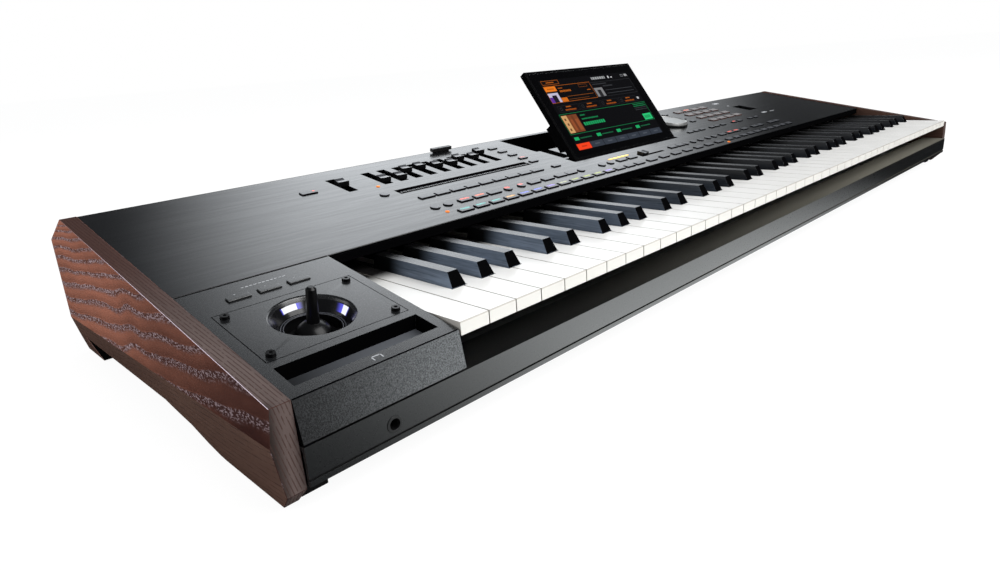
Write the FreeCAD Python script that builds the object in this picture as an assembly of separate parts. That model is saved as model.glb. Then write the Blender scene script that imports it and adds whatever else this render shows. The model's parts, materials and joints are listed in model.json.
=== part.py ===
import FreeCAD, Part
import math
import os
from FreeCAD import Placement, Rotation, Vector

# Arranger keyboard with 76 keys, a tilting display, sliders, a joystick and wooden end cheeks.
# While modelling, X runs right from the left edge of the lowest key, Y runs back from the key
# fronts and Z runs up from the white key tops. The last step moves the origin to the floor under
# the middle of the instrument. Lengths are millimetres and angles are degrees.

# Keyboard
octave_width = 165.0
white_count = 45
scale_names = "CDEFGAB"
first_white = 2
sharp_after = "CDFGA"
key_gap = 0.9
white_skirt = 8.5
white_top_wall = 2.6
key_side_wall = 2.0
notch_start = 47.7
sharp_slot = 13.7
pair_spread = 2.3
triple_spread = 3.4
sharp_base_width = 12.3
sharp_top_width = 8.9
sharp_height = 10.1
sharp_root = 6.0
sharp_tip_gap = 1.0
sharp_tip_slant = 5.7
sharp_hidden = 3.5
neck_before_pivot = 14.0
tail_overlap = 8.0
tail_width = 9.0
tail_top_drop = 3.0
tail_bottom_drop = 14.0
tail_behind_pivot = 6.5

# Key pivot and key frame
pivot_back = 200.0
pivot_drop = 9.0
rod_radius = 2.0
running_gap = 0.05
rib_thickness = 2.0
rib_half_depth = 11.0
rib_above_rod = 5.0
frame_front = 40.0
frame_behind_pivot = 14.0
frame_post_height = 8.5
frame_sheet = 2.5
frame_post = 10.0
frame_post_count = 6
contact_front = 60.0
contact_depth = 44.0
board_thickness = 1.6

# Whole case
key_height = 66.0
case_lift = 15.0
case_wall = 2.5
side_gap = 0.3
fit_gap = 0.3
deck_depth = 36.2
right_margin = 2.0
flange_height = 20.0
flange_gap = 16.0

# Sloping top face
slope_angle = 10.09
slope_drop = 4.15
panel_sheet = 2.0
panel_front = 136.2
panel_depth = 174.4
strip_thickness = 3.0
strip_clear_of_sharps = 1.4
deck_fall = 17.0
overrun = 1.0

# Wooden cheeks
cheek_overhang = 5.0
cheek_front = 0.0
cheek_top_thickness = 11.5
cheek_crease_thickness = 14.5
cheek_low_thickness = 11.0
cheek_sole_thickness = 8.0
cheek_proud = 0.6
cheek_rear_drop = 20.5
crease_front_drop = 23.5
crease_back_drop = 34.0
cheek_low_drop = 52.0
sole_lift = 1.5
toe_length = 12.0
toe_rise = 12.0
sole_length = 66.0
sweep_length = 76.0
arch_rise = 15.6
sweep_shares = ((0.10, 0.05), (0.27, 0.24), (0.52, 0.67), (0.84, 0.88), (1.0, 1.0))
leg_length = 41.0
leg_top_length = 22.0
leg_lean = 3.0
foot_width = 16.0
foot_length = 36.0
foot_inset = 3.0

# Front rail with its shelf and headphone jack
rail_front = -3.5
rail_top_drop = 28.5
rail_wall = 2.5
shelf_back = 28.0
groove_drop = 46.0
groove_height = 1.3
groove_depth = 1.2
rail_bottom_drop = 50.5
jack_from_block_left = 52.2
jack_drop = 39.5
jack_bore_radius = 3.25
jack_bush_radius = 4.2
jack_nut_radius = 4.9
jack_nut_thickness = 0.4
jack_body_length = 22.0
jack_body_width = 12.0
jack_body_height = 11.0

# Control block left of the keys
block_width = 105.5
block_key_gap = 1.2
block_front_lean = 4.0
block_bottom_drop = 26.9
block_wall = 2.5
block_top_wall = 5.0
block_seam = 0.6
block_post_width = 6.0
block_post_depth = 8.0
tray_length = 91.5
tray_width = 20.3
tray_depth = 10.0
tray_centre = 20.0
tray_wall = 1.6
assign_pitch = 20.0
assign_width = 14.4
assign_depth = 5.2
assign_centre = 113.0
assign_left_of_middle = 3.0

# Joystick
plate_width = 91.0
plate_depth = 62.4
plate_thickness = 2.5
plate_centre = 68.3
plate_gap = 0.5
plate_ledge = 3.2
plate_screw_inset = 5.2
plate_screw_sunk = 0.4
rim_top_radius = 25.7
rim_bottom_radius = 24.0
cup_radius = 21.0
light_bore_radius = 19.4
light_outer_radius = 26.5
light_thickness = 6.5
cup_floor = 2.0
cup_depth = 32.0
stick_pivot_depth = 17.0
dome_radius = 10.5
dome_cut_below = 4.0
boot_radius = 12.4
boot_rise = 6.8
gimbal_inner_radius = 11.6
gimbal_outer_radius = 14.6
gimbal_height = 5.0
gimbal_pin_radius = 1.5
gimbal_pin_reach = 3.0
stick_radius = 4.2
stick_tip_radius = 3.1
stick_reach = 17.6
stick_crown = 1.4

# Machine screws
screw_head_radius = 2.7
screw_head_height = 2.4
screw_shank_radius = 1.5
screw_length = 8.0
screw_socket_radius = 1.2
screw_socket_depth = 1.4
screw_hole_gap = 0.15
case_screw_rows = 2
case_screw_columns = 6
case_screw_inset = 34.0

# Tilting display
display_width = 205.3
display_height = 119.6
display_thickness = 6.8
display_centre_share = 0.4796
display_start_share = 0.3386
display_open_angle = 42.9
display_glass_margin = 3.0
display_glass_thickness = 1.5
display_back_wall = 1.8
display_cavity_margin = 12.0
display_cavity_bottom = 24.0
display_pin_depth = 4.5
display_pin_radius = 1.25
display_pin_length = 30.0
display_rest_gap = 0.6
ear_width = 8.0
ear_radius = 2.0
ear_inset = 30.0
ear_gap = 0.5
arm_width = 9.0
arm_inset = 0.6
arm_bottom = 20.0
arm_top = 52.0
arm_depth = 7.0
well_margin = 8.0
well_start_share = 0.6353
well_depth = 22.0
well_wall = 1.6
trough_margin = 4.5
trough_front_gap = 2.0
trough_length = 15.0
trough_depth = 11.0
pocket_margin = 3.0
pocket_depth = 10.5
well_back_wall = 4.0

# Sliders, touch strip and dial
slider_first_share = 0.2068
slider_last_share = 0.3317
slider_count = 9
slider_travel = 34.5
slider_start_share = 0.6422
slider_rest_shares = (0.17, 0.14, 0.58, 0.61, 0.45, 0.40, 0.68, 0.57, 0.88)
volume_share = 0.1734
volume_rest_share = 0.48
slider_cap_width = 9.0
slider_cap_length = 11.0
slider_cap_height = 4.8
slider_cap_lift = 0.6
slider_dish_radius = 10.0
slider_dish_depth = 1.2
slider_stem_width = 8.6
slider_stem_length = 5.0
crossfader_stem_width = 3.2
slider_slot_gap = 0.5
slider_stem_bite = 3.0
crossfader_first_share = 0.4650
crossfader_travel = 42.0
crossfader_row_share = 0.1709
track_height = 6.0
track_width = 12.0
track_end = 4.0
ribbon_first_share = 0.1985
ribbon_last_share = 0.3465
ribbon_row_share = 0.4828
ribbon_depth = 11.0
ribbon_sunk = 0.6
ribbon_thickness = 2.4
dial_share = 0.6284
dial_row_share = 0.6405
dial_radius = 26.0
dial_height = 5.0
dial_lift = 1.0
dial_top_radius = 24.0
dial_dish_depth = 0.8
dial_shaft_radius = 3.0
dial_body_width = 14.0
panel_board_depth = 8.0
spacer_radius = 3.0

# Panel buttons
button_travel = 0.8
button_height = 1.1
button_gap = 0.4
bar_width = 15.0
bar_depth = 6.5
wide_width = 16.2
wide_depth = 6.0
pad_width = 19.0
pad_depth = 9.0
small_width = 11.0
small_depth = 5.2
round_radius = 4.2
front_row_share = 0.0751
front_row_groups_shares = ((0.2137, 0.4381, 15), (0.4597, 0.5942, 7), (0.6191, 0.7782, 10))
second_row_share = 0.1864
second_bar_shares = (0.2284, 0.2441, 0.2594, 0.3066, 0.3240, 0.3412, 0.3554, 0.4327, 0.4497, 0.5254,
                     0.5403, 0.6335, 0.6525, 0.6684, 0.6888, 0.7166, 0.7317, 0.7628, 0.7786)
second_round_shares = (0.1986, 0.2109, 0.2751, 0.2909, 0.3699, 0.4012, 0.4146,
                       0.5517, 0.5672, 0.5830, 0.6000, 0.6139)
strip_row_share = 0.3389
strip_first_share = 0.2096
strip_last_share = 0.3358
strip_count = 9
strip_lone_share = 0.3618
strip_column_share = 0.3563
strip_column_row_share = 0.4902
strip_column_pitch_share = 0.0903
strip_column_count = 5
standby_share = 0.1431
standby_row_share = 0.7248
strip_round_share = 0.1865
strip_round_row_share = 0.4868
style_row_share = 0.3704
style_row_shares = (0.6092, 0.6227, 0.6358, 0.6598, 0.6716, 0.6879, 0.7167, 0.7319, 0.7619, 0.7773)
grid_first_share = 0.7051
grid_pitch = 24.1
grid_count = 4
grid_row_share = 0.5178
grid_row_pitch_share = 0.1137
dial_button_share = 0.6704
dial_button_centres_shares = (0.96, 1.026, 1.15)

# Media slot and music rest clips
media_share = 0.8295
media_width = 27.0
media_length = 31.0
media_depth = 14.0
media_row_share = 0.6456
media_wall = 1.6
media_tongue_width = 12.0
media_tongue_height = 3.0
media_tongue_length = 9.0
clip_shares = (0.3068, 0.6636)
clip_width = 27.0
clip_depth = 5.0
clip_height = 5.0
clip_lift = 1.4
clip_edge_gap = 0.6
clip_peg_radius = 2.0

# Boards and supply inside
main_board_share = 0.30
main_board_width = 330.0
main_board_front_gap = 12.0
main_board_back_gap = 20.0
standoff_height = 6.0
standoff_width = 8.0
chip_width = 34.0
chip_height = 3.0
chip_count = 4
supply_share = 0.797
supply_width = 150.0
supply_front_gap = 22.0
supply_back_gap = 26.0
supply_height = 40.0
supply_wall = 1.2

# Rear sockets, inlet and power switch
socket_shares = (0.16, 0.20, 0.24, 0.28, 0.34, 0.38)
socket_lift = 34.0
socket_nut_thickness = 2.5
inlet_share = 0.86
inlet_width = 58.0
inlet_height = 26.0
inlet_depth = 20.0
inlet_flange = 3.0
inlet_flange_thickness = 1.5
inlet_mouth_width = 24.0
inlet_mouth_height = 16.5
inlet_mouth_depth = 15.0
inlet_mouth_left = 5.0
inlet_pin_width = 2.0
inlet_pin_height = 4.0
inlet_pin_pitch = 7.0
rocker_width = 14.0
rocker_height = 20.0
rocker_gap = 0.5
rocker_right = 6.0
rocker_angle = 9.0
rocker_thickness = 7.0
rocker_pin_radius = 1.2
rocker_pin_reach = 2.0

# Values worked out from the sizes above
slope_cos = math.cos(math.radians(slope_angle))
slope_sin = math.sin(math.radians(slope_angle))
slope_tan = slope_sin / slope_cos
white_pitch = octave_width / len(scale_names)
keyboard_width = white_pitch * white_count
block_right = -block_key_gap
block_left = block_right - block_width
left_inner = block_left - side_gap
right_inner = keyboard_width + right_margin
panel_left = left_inner + side_gap
panel_right = right_inner - side_gap
panel_width = panel_right - panel_left
floor_z = -key_height
sole_z = floor_z + sole_lift
case_bottom = floor_z + case_lift
case_floor = case_bottom + case_wall
neck_end = pivot_back - neck_before_pivot
frame_back = pivot_back + frame_behind_pivot
frame_drop = -case_floor - frame_post_height - frame_sheet
panel_back = panel_front + panel_depth
case_back = panel_back * slope_cos + deck_depth
cheek_back = case_back + cheek_overhang
main_board_front = frame_back + main_board_front_gap
main_board_back = case_back - main_board_back_gap
supply_front = frame_back + supply_front_gap
supply_back = case_back - supply_back_gap
front_row = panel_front + front_row_share * panel_depth
second_row = panel_front + second_row_share * panel_depth
crossfader_centre = panel_front + crossfader_row_share * panel_depth
strip_row = panel_front + strip_row_share * panel_depth
strip_round_centre = panel_front + strip_round_row_share * panel_depth
strip_column_start = panel_front + strip_column_row_share * panel_depth
strip_column_pitch = strip_column_pitch_share * panel_depth
ribbon_centre = panel_front + ribbon_row_share * panel_depth
slider_travel_start = panel_front + slider_start_share * panel_depth
standby_centre = panel_front + standby_row_share * panel_depth
style_row = panel_front + style_row_share * panel_depth
grid_start = panel_front + grid_row_share * panel_depth
grid_row_pitch = grid_row_pitch_share * panel_depth
dial_centre = panel_front + dial_row_share * panel_depth
media_centre = panel_front + media_row_share * panel_depth
display_start = panel_front + display_start_share * panel_depth
well_start = panel_front + well_start_share * panel_depth
block_middle = (block_left + block_right) / 2
board_top = -panel_sheet - panel_board_depth
display_left = panel_left + display_centre_share * panel_width - display_width / 2
display_right = display_left + display_width
open_sin = math.sin(math.radians(display_open_angle))
open_cos = math.cos(math.radians(display_open_angle))
pin_lift = display_thickness - display_pin_depth + display_rest_gap
pin_up = (pin_lift + display_pin_depth * open_cos) / open_sin
pin_along = display_start + pin_up * open_cos + display_pin_depth * open_sin
trough_start = display_start - trough_front_gap
slope_place = Placement(Vector(0, 0, -slope_drop), Rotation(Vector(1, 0, 0), slope_angle))
display_place = slope_place.multiply(
    Placement(Vector(0, display_start, 0), Rotation(Vector(1, 0, 0), display_open_angle)))
front_reach = -block_front_lean
frame_shift = Vector(-(left_inner + right_inner) / 2, -(front_reach + cheek_back) / 2, key_height)


# Small helpers
def box(x0, x1, y0, y1, z0, z1):
    """Box between two corners."""
    return Part.makeBox(x1 - x0, y1 - y0, z1 - z0, Vector(x0, y0, z0))


def centred_box(x, y, width, depth, z0, z1):
    """Box centred on a place in plan."""
    return box(x - width / 2, x + width / 2, y - depth / 2, y + depth / 2, z0, z1)


def rod_along(axis, centre, radius, length):
    """Cylinder centred on a place, along an axis."""
    start = centre - axis * (length / 2)
    return Part.makeCylinder(radius, length, start, axis)


def upright(x, y, radius, z0, z1):
    """Cylinder along Z."""
    return Part.makeCylinder(radius, z1 - z0, Vector(x, y, z0))


def prism_x(points, x0, x1):
    """Solid of a side outline, given as (y, z), from x0 to x1."""
    corners = [Vector(x0, y, z) for y, z in points]
    face = Part.Face(Part.makePolygon(corners + corners[:1]))
    return face.extrude(Vector(x1 - x0, 0, 0))


def prism_z(points, z0, z1):
    """Solid of a plan outline, given as (x, y), from z0 to z1, with repeated corners dropped."""
    kept = [p for i, p in enumerate(points) if p != points[i - 1]]
    corners = [Vector(x, y, z0) for x, y in kept]
    face = Part.Face(Part.makePolygon(corners + corners[:1]))
    return face.extrude(Vector(0, 0, z1 - z0))


def frustum(lower, upper, z0, z1):
    """Ruled solid between two rectangles (x0, x1, y0, y1) at two heights."""
    wires = []
    for (x0, x1, y0, y1), z in ((lower, z0), (upper, z1)):
        corners = [Vector(x0, y0, z), Vector(x1, y0, z), Vector(x1, y1, z), Vector(x0, y1, z)]
        wires.append(Part.makePolygon(corners + corners[:1]))
    return Part.makeLoft(wires, True, True)


def joined(shapes):
    """One solid from shapes that overlap or touch."""
    return shapes[0].fuse(shapes[1:]).removeSplitter()


def on_slope(shape):
    """Move a shape from flat panel places (x, distance up the slope, height) to the sloping top."""
    placed = shape.copy()
    placed.Placement = slope_place.multiply(placed.Placement)
    return placed


def on_display(shape):
    """Move a shape from flat display places (x, distance up the glass, height) to its rest tilt."""
    placed = shape.copy()
    placed.Placement = display_place.multiply(placed.Placement)
    return placed


def across(share):
    """Place along X at a share of the panel's width."""
    return panel_left + share * panel_width


def slope_height(y):
    """Height of the sloping top above a place in plan."""
    return y * slope_tan - slope_drop


def spread(first, last, count):
    """Evenly spaced values, both ends included."""
    return [first + (last - first) * i / (count - 1) for i in range(count)]


# Keys
def white_name(index):
    """Letter of a white key, counted from the left."""
    return scale_names[(first_white + index) % len(scale_names)]


def has_sharp(index):
    """Whether a black key follows a white key."""
    return 0 <= index < white_count - 1 and white_name(index) in sharp_after


def sharp_centre(index):
    """Place of the black key that follows a white key."""
    offset = {"C": -pair_spread, "D": pair_spread, "F": -triple_spread, "G": 0, "A": triple_spread}
    return (index + 1) * white_pitch + offset[white_name(index)]


def white_neck(index):
    """Left and right side of a white key between the black keys."""
    left = index * white_pitch + key_gap / 2
    right = (index + 1) * white_pitch - key_gap / 2
    neck_left = sharp_centre(index - 1) + sharp_slot / 2 if has_sharp(index - 1) else left
    neck_right = sharp_centre(index) - sharp_slot / 2 if has_sharp(index) else right
    return left, right, neck_left, neck_right


def key_outline(sides, inset, back):
    """Plan of a white key, drawn in by an inset."""
    left, right, neck_left, neck_right = sides
    step = notch_start - inset
    return [(left + inset, inset), (right - inset, inset), (right - inset, step),
            (neck_right - inset, step), (neck_right - inset, back), (neck_left + inset, back),
            (neck_left + inset, step), (left + inset, step)]


def key_tail(middle, start):
    """Narrow tail of a key, which swings on the pivot rod."""
    return box(middle - tail_width / 2, middle + tail_width / 2, start, pivot_back + tail_behind_pivot,
               -tail_bottom_drop, -tail_top_drop)


def pivot_hole(middle, width):
    """Tool that bores a key for the pivot rod."""
    centre = Vector(middle, pivot_back, -pivot_drop)
    return rod_along(Vector(1, 0, 0), centre, rod_radius + running_gap, width + overrun)


def white_key(index):
    """Hollow white key with its notches and tail."""
    sides = white_neck(index)
    tail_start = neck_end - tail_overlap
    shell = prism_z(key_outline(sides, 0, neck_end), -white_skirt, 0)
    hollow = prism_z(key_outline(sides, key_side_wall, tail_start), -white_skirt - overrun, -white_top_wall)
    middle = (sides[2] + sides[3]) / 2
    solid = joined([shell.cut(hollow), key_tail(middle, tail_start)])
    return solid.cut(pivot_hole(middle, tail_width))


def sharp_key(index):
    """Black key with slanting sides and tip, and its tail."""
    middle = sharp_centre(index)
    tip = notch_start + sharp_tip_gap
    back = panel_front * slope_cos + sharp_hidden
    base = sharp_base_width / 2
    top = sharp_top_width / 2
    root = box(middle - base, middle + base, tip, back, -sharp_root, 0)
    crown = frustum((middle - base, middle + base, tip, back),
                    (middle - top, middle + top, tip + sharp_tip_slant, back), 0, sharp_height)
    solid = joined([root, crown, key_tail(middle, back - tail_overlap)])
    return solid.cut(pivot_hole(middle, tail_width))


def key_nodes():
    """Keys of one moulding share a node, as separate solids."""
    nodes = {}
    for index in range(white_count):
        letter = white_name(index).lower()
        nodes.setdefault("keys_" + letter, []).append(white_key(index))
        if has_sharp(index):
            nodes.setdefault("keys_" + letter + "_sharp", []).append(sharp_key(index))
    return {name: Part.makeCompound(solids) for name, solids in nodes.items()}


# Key frame, rod and contacts
def rib_places():
    """Left sides of the ribs that carry the rod: both ends, and wherever two white keys meet."""
    places = [0, keyboard_width - rib_thickness]
    for index in range(white_count - 1):
        if not has_sharp(index):
            places.append((index + 1) * white_pitch - rib_thickness / 2)
    return sorted(places)


def key_frame():
    """Sheet frame under the keys with posts, and ribs that carry the pivot rod."""
    pieces = [box(0, keyboard_width, frame_front, frame_back, -frame_drop - frame_sheet, -frame_drop)]
    front, back = pivot_back - rib_half_depth, pivot_back + rib_half_depth
    for left in rib_places():
        pieces.append(box(left, left + rib_thickness, front, back, -frame_drop - frame_sheet,
                          rib_above_rod - pivot_drop))
    for x in spread(frame_post, keyboard_width - frame_post, frame_post_count):
        for y in (frame_front + frame_post, frame_back - frame_post):
            pieces.append(centred_box(x, y, frame_post, frame_post, case_floor, -frame_drop))
    bore = rod_along(Vector(1, 0, 0), Vector(keyboard_width / 2, pivot_back, -pivot_drop),
                     rod_radius + running_gap, keyboard_width + overrun)
    return joined(pieces).cut(bore)


def key_pivot_rod():
    """Steel rod through all key tails."""
    return rod_along(Vector(1, 0, 0), Vector(keyboard_width / 2, pivot_back, -pivot_drop),
                     rod_radius, keyboard_width)


def contact_board():
    """Board of key contacts, lying on the frame."""
    return box(frame_post, keyboard_width - frame_post, contact_front, contact_front + contact_depth,
               -frame_drop, -frame_drop + board_thickness)


# Case
def bottom_case():
    """Floor of the case with a flange along each cheek."""
    front = rail_front + rail_wall + fit_gap
    pieces = [box(panel_left, panel_right, front, case_back, case_bottom, case_floor)]
    for left in (panel_left, panel_right - case_wall):
        pieces.append(box(left, left + case_wall, frame_back + flange_gap, case_back - flange_gap, case_bottom,
                          case_floor + flange_height))
    solid = joined(pieces)
    holes = [upright(x, y, screw_shank_radius + screw_hole_gap, case_bottom - overrun, case_floor + overrun)
             for x, y in case_screw_places()]
    return solid.cut(holes)


def case_screw_places():
    """Plan places of the screws under the case."""
    columns = spread(panel_left + case_screw_inset, panel_right - case_screw_inset, case_screw_columns)
    rows = spread(case_screw_inset, case_back - case_screw_inset, case_screw_rows)
    return [(x, y) for x in columns for y in rows]


def front_rail():
    """Front rail: shelf, front wall, groove and lip, bored for the headphone jack."""
    inner = rail_front + rail_wall
    groove_back = rail_front + groove_depth
    outline = [(rail_front, -rail_top_drop), (shelf_back, -rail_top_drop),
               (shelf_back, -rail_top_drop - rail_wall), (inner, -rail_top_drop - rail_wall),
               (inner, -rail_bottom_drop), (rail_front, -rail_bottom_drop),
               (rail_front, -groove_drop - groove_height), (groove_back, -groove_drop - groove_height),
               (groove_back, -groove_drop), (rail_front, -groove_drop)]
    rail = prism_x(outline, panel_left, panel_right)
    return rail.cut(rod_along(Vector(0, 1, 0), jack_centre(), jack_bush_radius + fit_gap,
                              2 * jack_body_length))


def jack_centre():
    """Middle of the headphone jack's mouth."""
    return Vector(block_left + jack_from_block_left, rail_front, -jack_drop)


def headphone_jack():
    """Jack with its nut outside the rail and its body behind."""
    mouth = jack_centre()
    inner = rail_front + rail_wall
    y_axis = Vector(0, 1, 0)
    nut = Part.makeCylinder(jack_nut_radius, jack_nut_thickness, mouth - y_axis * jack_nut_thickness, y_axis)
    bush = Part.makeCylinder(jack_bush_radius, rail_wall + overrun, mouth, y_axis)
    body = box(mouth.x - jack_body_width / 2, mouth.x + jack_body_width / 2, inner, inner + jack_body_length,
               mouth.z - jack_body_height / 2, mouth.z + jack_body_height / 2)
    bore = Part.makeCylinder(jack_bore_radius, jack_body_length + jack_nut_thickness,
                             mouth - y_axis * jack_nut_thickness, y_axis)
    return joined([nut, bush, body]).cut(bore)


def rear_panel():
    """Rear wall with the deck that falls away behind the top panel."""
    start = panel_back * slope_cos + panel_sheet * slope_sin + fit_gap
    high = slope_height(start)
    low = high - deck_fall
    inner = case_back - case_wall
    outline = [(start, high), (case_back, low), (case_back, case_floor), (inner, case_floor),
               (inner, low - case_wall), (start, high - case_wall)]
    wall = prism_x(outline, panel_left, panel_right)
    tools = [rod_along(Vector(0, 1, 0), Vector(x, case_back, socket_height()), jack_bush_radius + fit_gap,
                       2 * jack_body_length) for x in socket_places()]
    left = inlet_left()
    bottom = inlet_bottom()
    tools.append(box(left - fit_gap, left + inlet_width + fit_gap, inner - overrun, case_back + overrun,
                     bottom - fit_gap, bottom + inlet_height + fit_gap))
    return wall.cut(tools)


def cheek_side():
    """Side outline of a cheek: sloping top, rear chamfer, leg, arch, sole and toe."""
    top_front = slope_height(cheek_front) + cheek_proud
    peak = panel_back * slope_cos
    peak_z = slope_height(peak) + cheek_proud
    arch_z = sole_z + arch_rise
    sole_front = cheek_front + toe_length
    sole_back = sole_front + sole_length
    points = [(cheek_front, top_front), (peak, peak_z), (cheek_back, peak_z - cheek_rear_drop),
              (cheek_back - leg_lean, sole_z), (cheek_back - leg_lean - leg_length, sole_z),
              (cheek_back - leg_top_length, arch_z)]
    for along, up in reversed(sweep_shares):
        points.append((sole_back + along * sweep_length, sole_z + up * arch_rise))
    points += [(sole_back, sole_z), (sole_front, sole_z), (cheek_front, sole_z + toe_rise)]
    return points


def cheek_section(y, top_z, crease_z):
    """Cross section of the left cheek at one depth, thickest at the crease."""
    inner = left_inner
    points = [(inner, top_z), (inner, floor_z), (inner - cheek_sole_thickness, floor_z),
              (inner - cheek_low_thickness, -cheek_low_drop), (inner - cheek_crease_thickness, crease_z),
              (inner - cheek_top_thickness, top_z)]
    corners = [Vector(x, y, z) for x, z in points]
    return Part.makePolygon(corners + corners[:1])


def left_cheek():
    """Wooden cheek: side outline cut to the creased cross section."""
    peak_z = slope_height(panel_back * slope_cos) + cheek_proud
    rear_top = peak_z + (cheek_back - panel_back * slope_cos) * slope_tan
    front = cheek_section(cheek_front, slope_height(cheek_front) + cheek_proud, -crease_front_drop)
    back = cheek_section(cheek_back, rear_top, -crease_back_drop)
    body = Part.makeLoft([front, back], True, True)
    blank = prism_x(cheek_side(), left_inner - cheek_crease_thickness - overrun, left_inner)
    return blank.common(body)


def right_cheek():
    """Mirror image of the left cheek."""
    middle = Vector((left_inner + right_inner) / 2, 0, 0)
    return left_cheek().mirror(middle, Vector(1, 0, 0))


def rubber_feet():
    """Four rubber blocks under the case, just inside the cheeks."""
    front = cheek_front + toe_length + foot_inset
    back = cheek_back - leg_lean - foot_length - foot_inset
    feet = []
    for left in (left_inner + foot_inset, right_inner - foot_inset - foot_width):
        for start in (front, back):
            feet.append(box(left, left + foot_width, start, start + foot_length, floor_z, case_bottom))
    return Part.makeCompound(feet)


# Control block and joystick
def control_block():
    """Hollow block left of the keys with the plate seat, tray and button holes."""
    back = panel_front * slope_cos - block_seam
    bottom = -block_bottom_drop
    outer = prism_x([(0, slope_height(0)), (-block_front_lean, bottom), (back, bottom),
                     (back, slope_height(back))], block_left, block_right)
    under = slope_height(0) - block_top_wall / slope_cos
    lean = block_front_lean * (block_top_wall / slope_cos) / (slope_height(0) - bottom)
    inner = prism_x([(block_wall - lean, under + block_wall * slope_tan),
                     (block_wall - block_front_lean, bottom),
                     (block_wall - block_front_lean, bottom - overrun), (back - block_wall, bottom - overrun),
                     (back - block_wall, under + (back - block_wall) * slope_tan)],
                    block_left + block_wall, block_right - block_wall)
    tub = on_slope(centred_box(block_middle, tray_centre, tray_length + 2 * tray_wall,
                               tray_width + 2 * tray_wall, -tray_depth - tray_wall, -tray_wall))
    solid = joined([outer.cut(inner), tub] + block_posts())
    seat = centred_box(block_middle, plate_centre, plate_width + 2 * plate_gap, plate_depth + 2 * plate_gap,
                       -plate_thickness, overrun)
    opening = centred_box(block_middle, plate_centre, plate_width - 4 * plate_screw_inset,
                          plate_depth - 2 * plate_ledge, -block_top_wall - overrun, overrun)
    tray = centred_box(block_middle, tray_centre, tray_length, tray_width, -tray_depth, overrun)
    holes = [centred_box(x, assign_centre, assign_width + 2 * fit_gap, assign_depth + 2 * fit_gap,
                         -block_top_wall - overrun, overrun) for x in assign_places()]
    holes += [upright(x, s, screw_shank_radius + screw_hole_gap, -block_top_wall - overrun, 0)
              for x, s in plate_screw_places()]
    return solid.cut([on_slope(tool) for tool in [seat, opening, tray] + holes])


def block_posts():
    """Posts from the block's top down to the case floor."""
    posts = []
    half = plate_depth / 2 + plate_gap
    for s in (plate_centre - half, plate_centre + half):
        y = s * slope_cos
        top = slope_height(y - block_post_depth / 2) - block_top_wall
        for left in (block_left + block_wall, block_right - block_wall - block_post_width):
            posts.append(box(left, left + block_post_width, y - block_post_depth / 2,
                             y + block_post_depth / 2, case_floor, top))
    return posts


def assign_places():
    """Places of the three assign buttons along X."""
    middle = block_middle - assign_left_of_middle
    return [middle - assign_pitch, middle, middle + assign_pitch]


def assign_buttons():
    """Three assign buttons behind the joystick."""
    high = button_travel + fit_gap
    return Part.makeCompound([
        on_slope(centred_box(x, assign_centre, assign_width, assign_depth, -block_top_wall, high))
        for x in assign_places()])


def plate_screw_places():
    """Corners of the joystick plate's screws, in panel places."""
    x = plate_width / 2 - plate_screw_inset
    s = plate_depth / 2 - plate_screw_inset
    return [(block_middle + i * x, plate_centre + j * s) for i in (-1, 1) for j in (-1, 1)]


def joystick_plate():
    """Inset plate with a conical opening and shallow seats for the screw heads."""
    plate = centred_box(block_middle, plate_centre, plate_width, plate_depth, -plate_thickness, 0)
    rim = Part.makeCone(rim_bottom_radius, rim_top_radius, plate_thickness,
                        Vector(block_middle, plate_centre, -plate_thickness))
    tools = [rim]
    for x, s in plate_screw_places():
        tools.append(upright(x, s, screw_shank_radius + screw_hole_gap, -plate_thickness, 0))
        tools.append(upright(x, s, screw_head_radius + screw_hole_gap, -plate_screw_sunk, 0))
    return on_slope(plate.cut(tools))


def joystick_light_ring():
    """Clear funnel under the plate's opening that glows through it."""
    low = -plate_thickness - light_thickness
    ring = upright(block_middle, plate_centre, light_outer_radius, low, -plate_thickness)
    bore = Part.makeCone(light_bore_radius, rim_bottom_radius, light_thickness,
                         Vector(block_middle, plate_centre, low))
    return on_slope(ring.cut(bore))


def joystick_centre():
    """Point where both joystick axes cross, in panel places."""
    return Vector(block_middle, plate_centre, -stick_pivot_depth)


def joystick_cup():
    """Cup that holds the gimbal, bored for its pins."""
    top = -plate_thickness - light_thickness
    cup = upright(block_middle, plate_centre, light_outer_radius, -cup_depth, top)
    hollow = upright(block_middle, plate_centre, cup_radius, cup_floor - cup_depth, 0)
    pins = rod_along(Vector(1, 0, 0), joystick_centre(), gimbal_pin_radius + running_gap,
                     2 * (cup_radius + gimbal_pin_reach + fit_gap))
    return on_slope(cup.cut([hollow, pins]))


def joystick_gimbal():
    """Ring with pins along X in the cup, bored along the slope for the stick's pins."""
    low = -stick_pivot_depth - gimbal_height / 2
    ring = upright(block_middle, plate_centre, gimbal_outer_radius, low, low + gimbal_height)
    pins = rod_along(Vector(1, 0, 0), joystick_centre(), gimbal_pin_radius,
                     2 * (cup_radius + gimbal_pin_reach))
    hole = upright(block_middle, plate_centre, gimbal_inner_radius, low - overrun, 0)
    cross = rod_along(Vector(0, 1, 0), joystick_centre(), gimbal_pin_radius + running_gap,
                      2 * gimbal_outer_radius + overrun)
    return on_slope(joined([ring, pins]).cut([hole, cross]))


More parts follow.
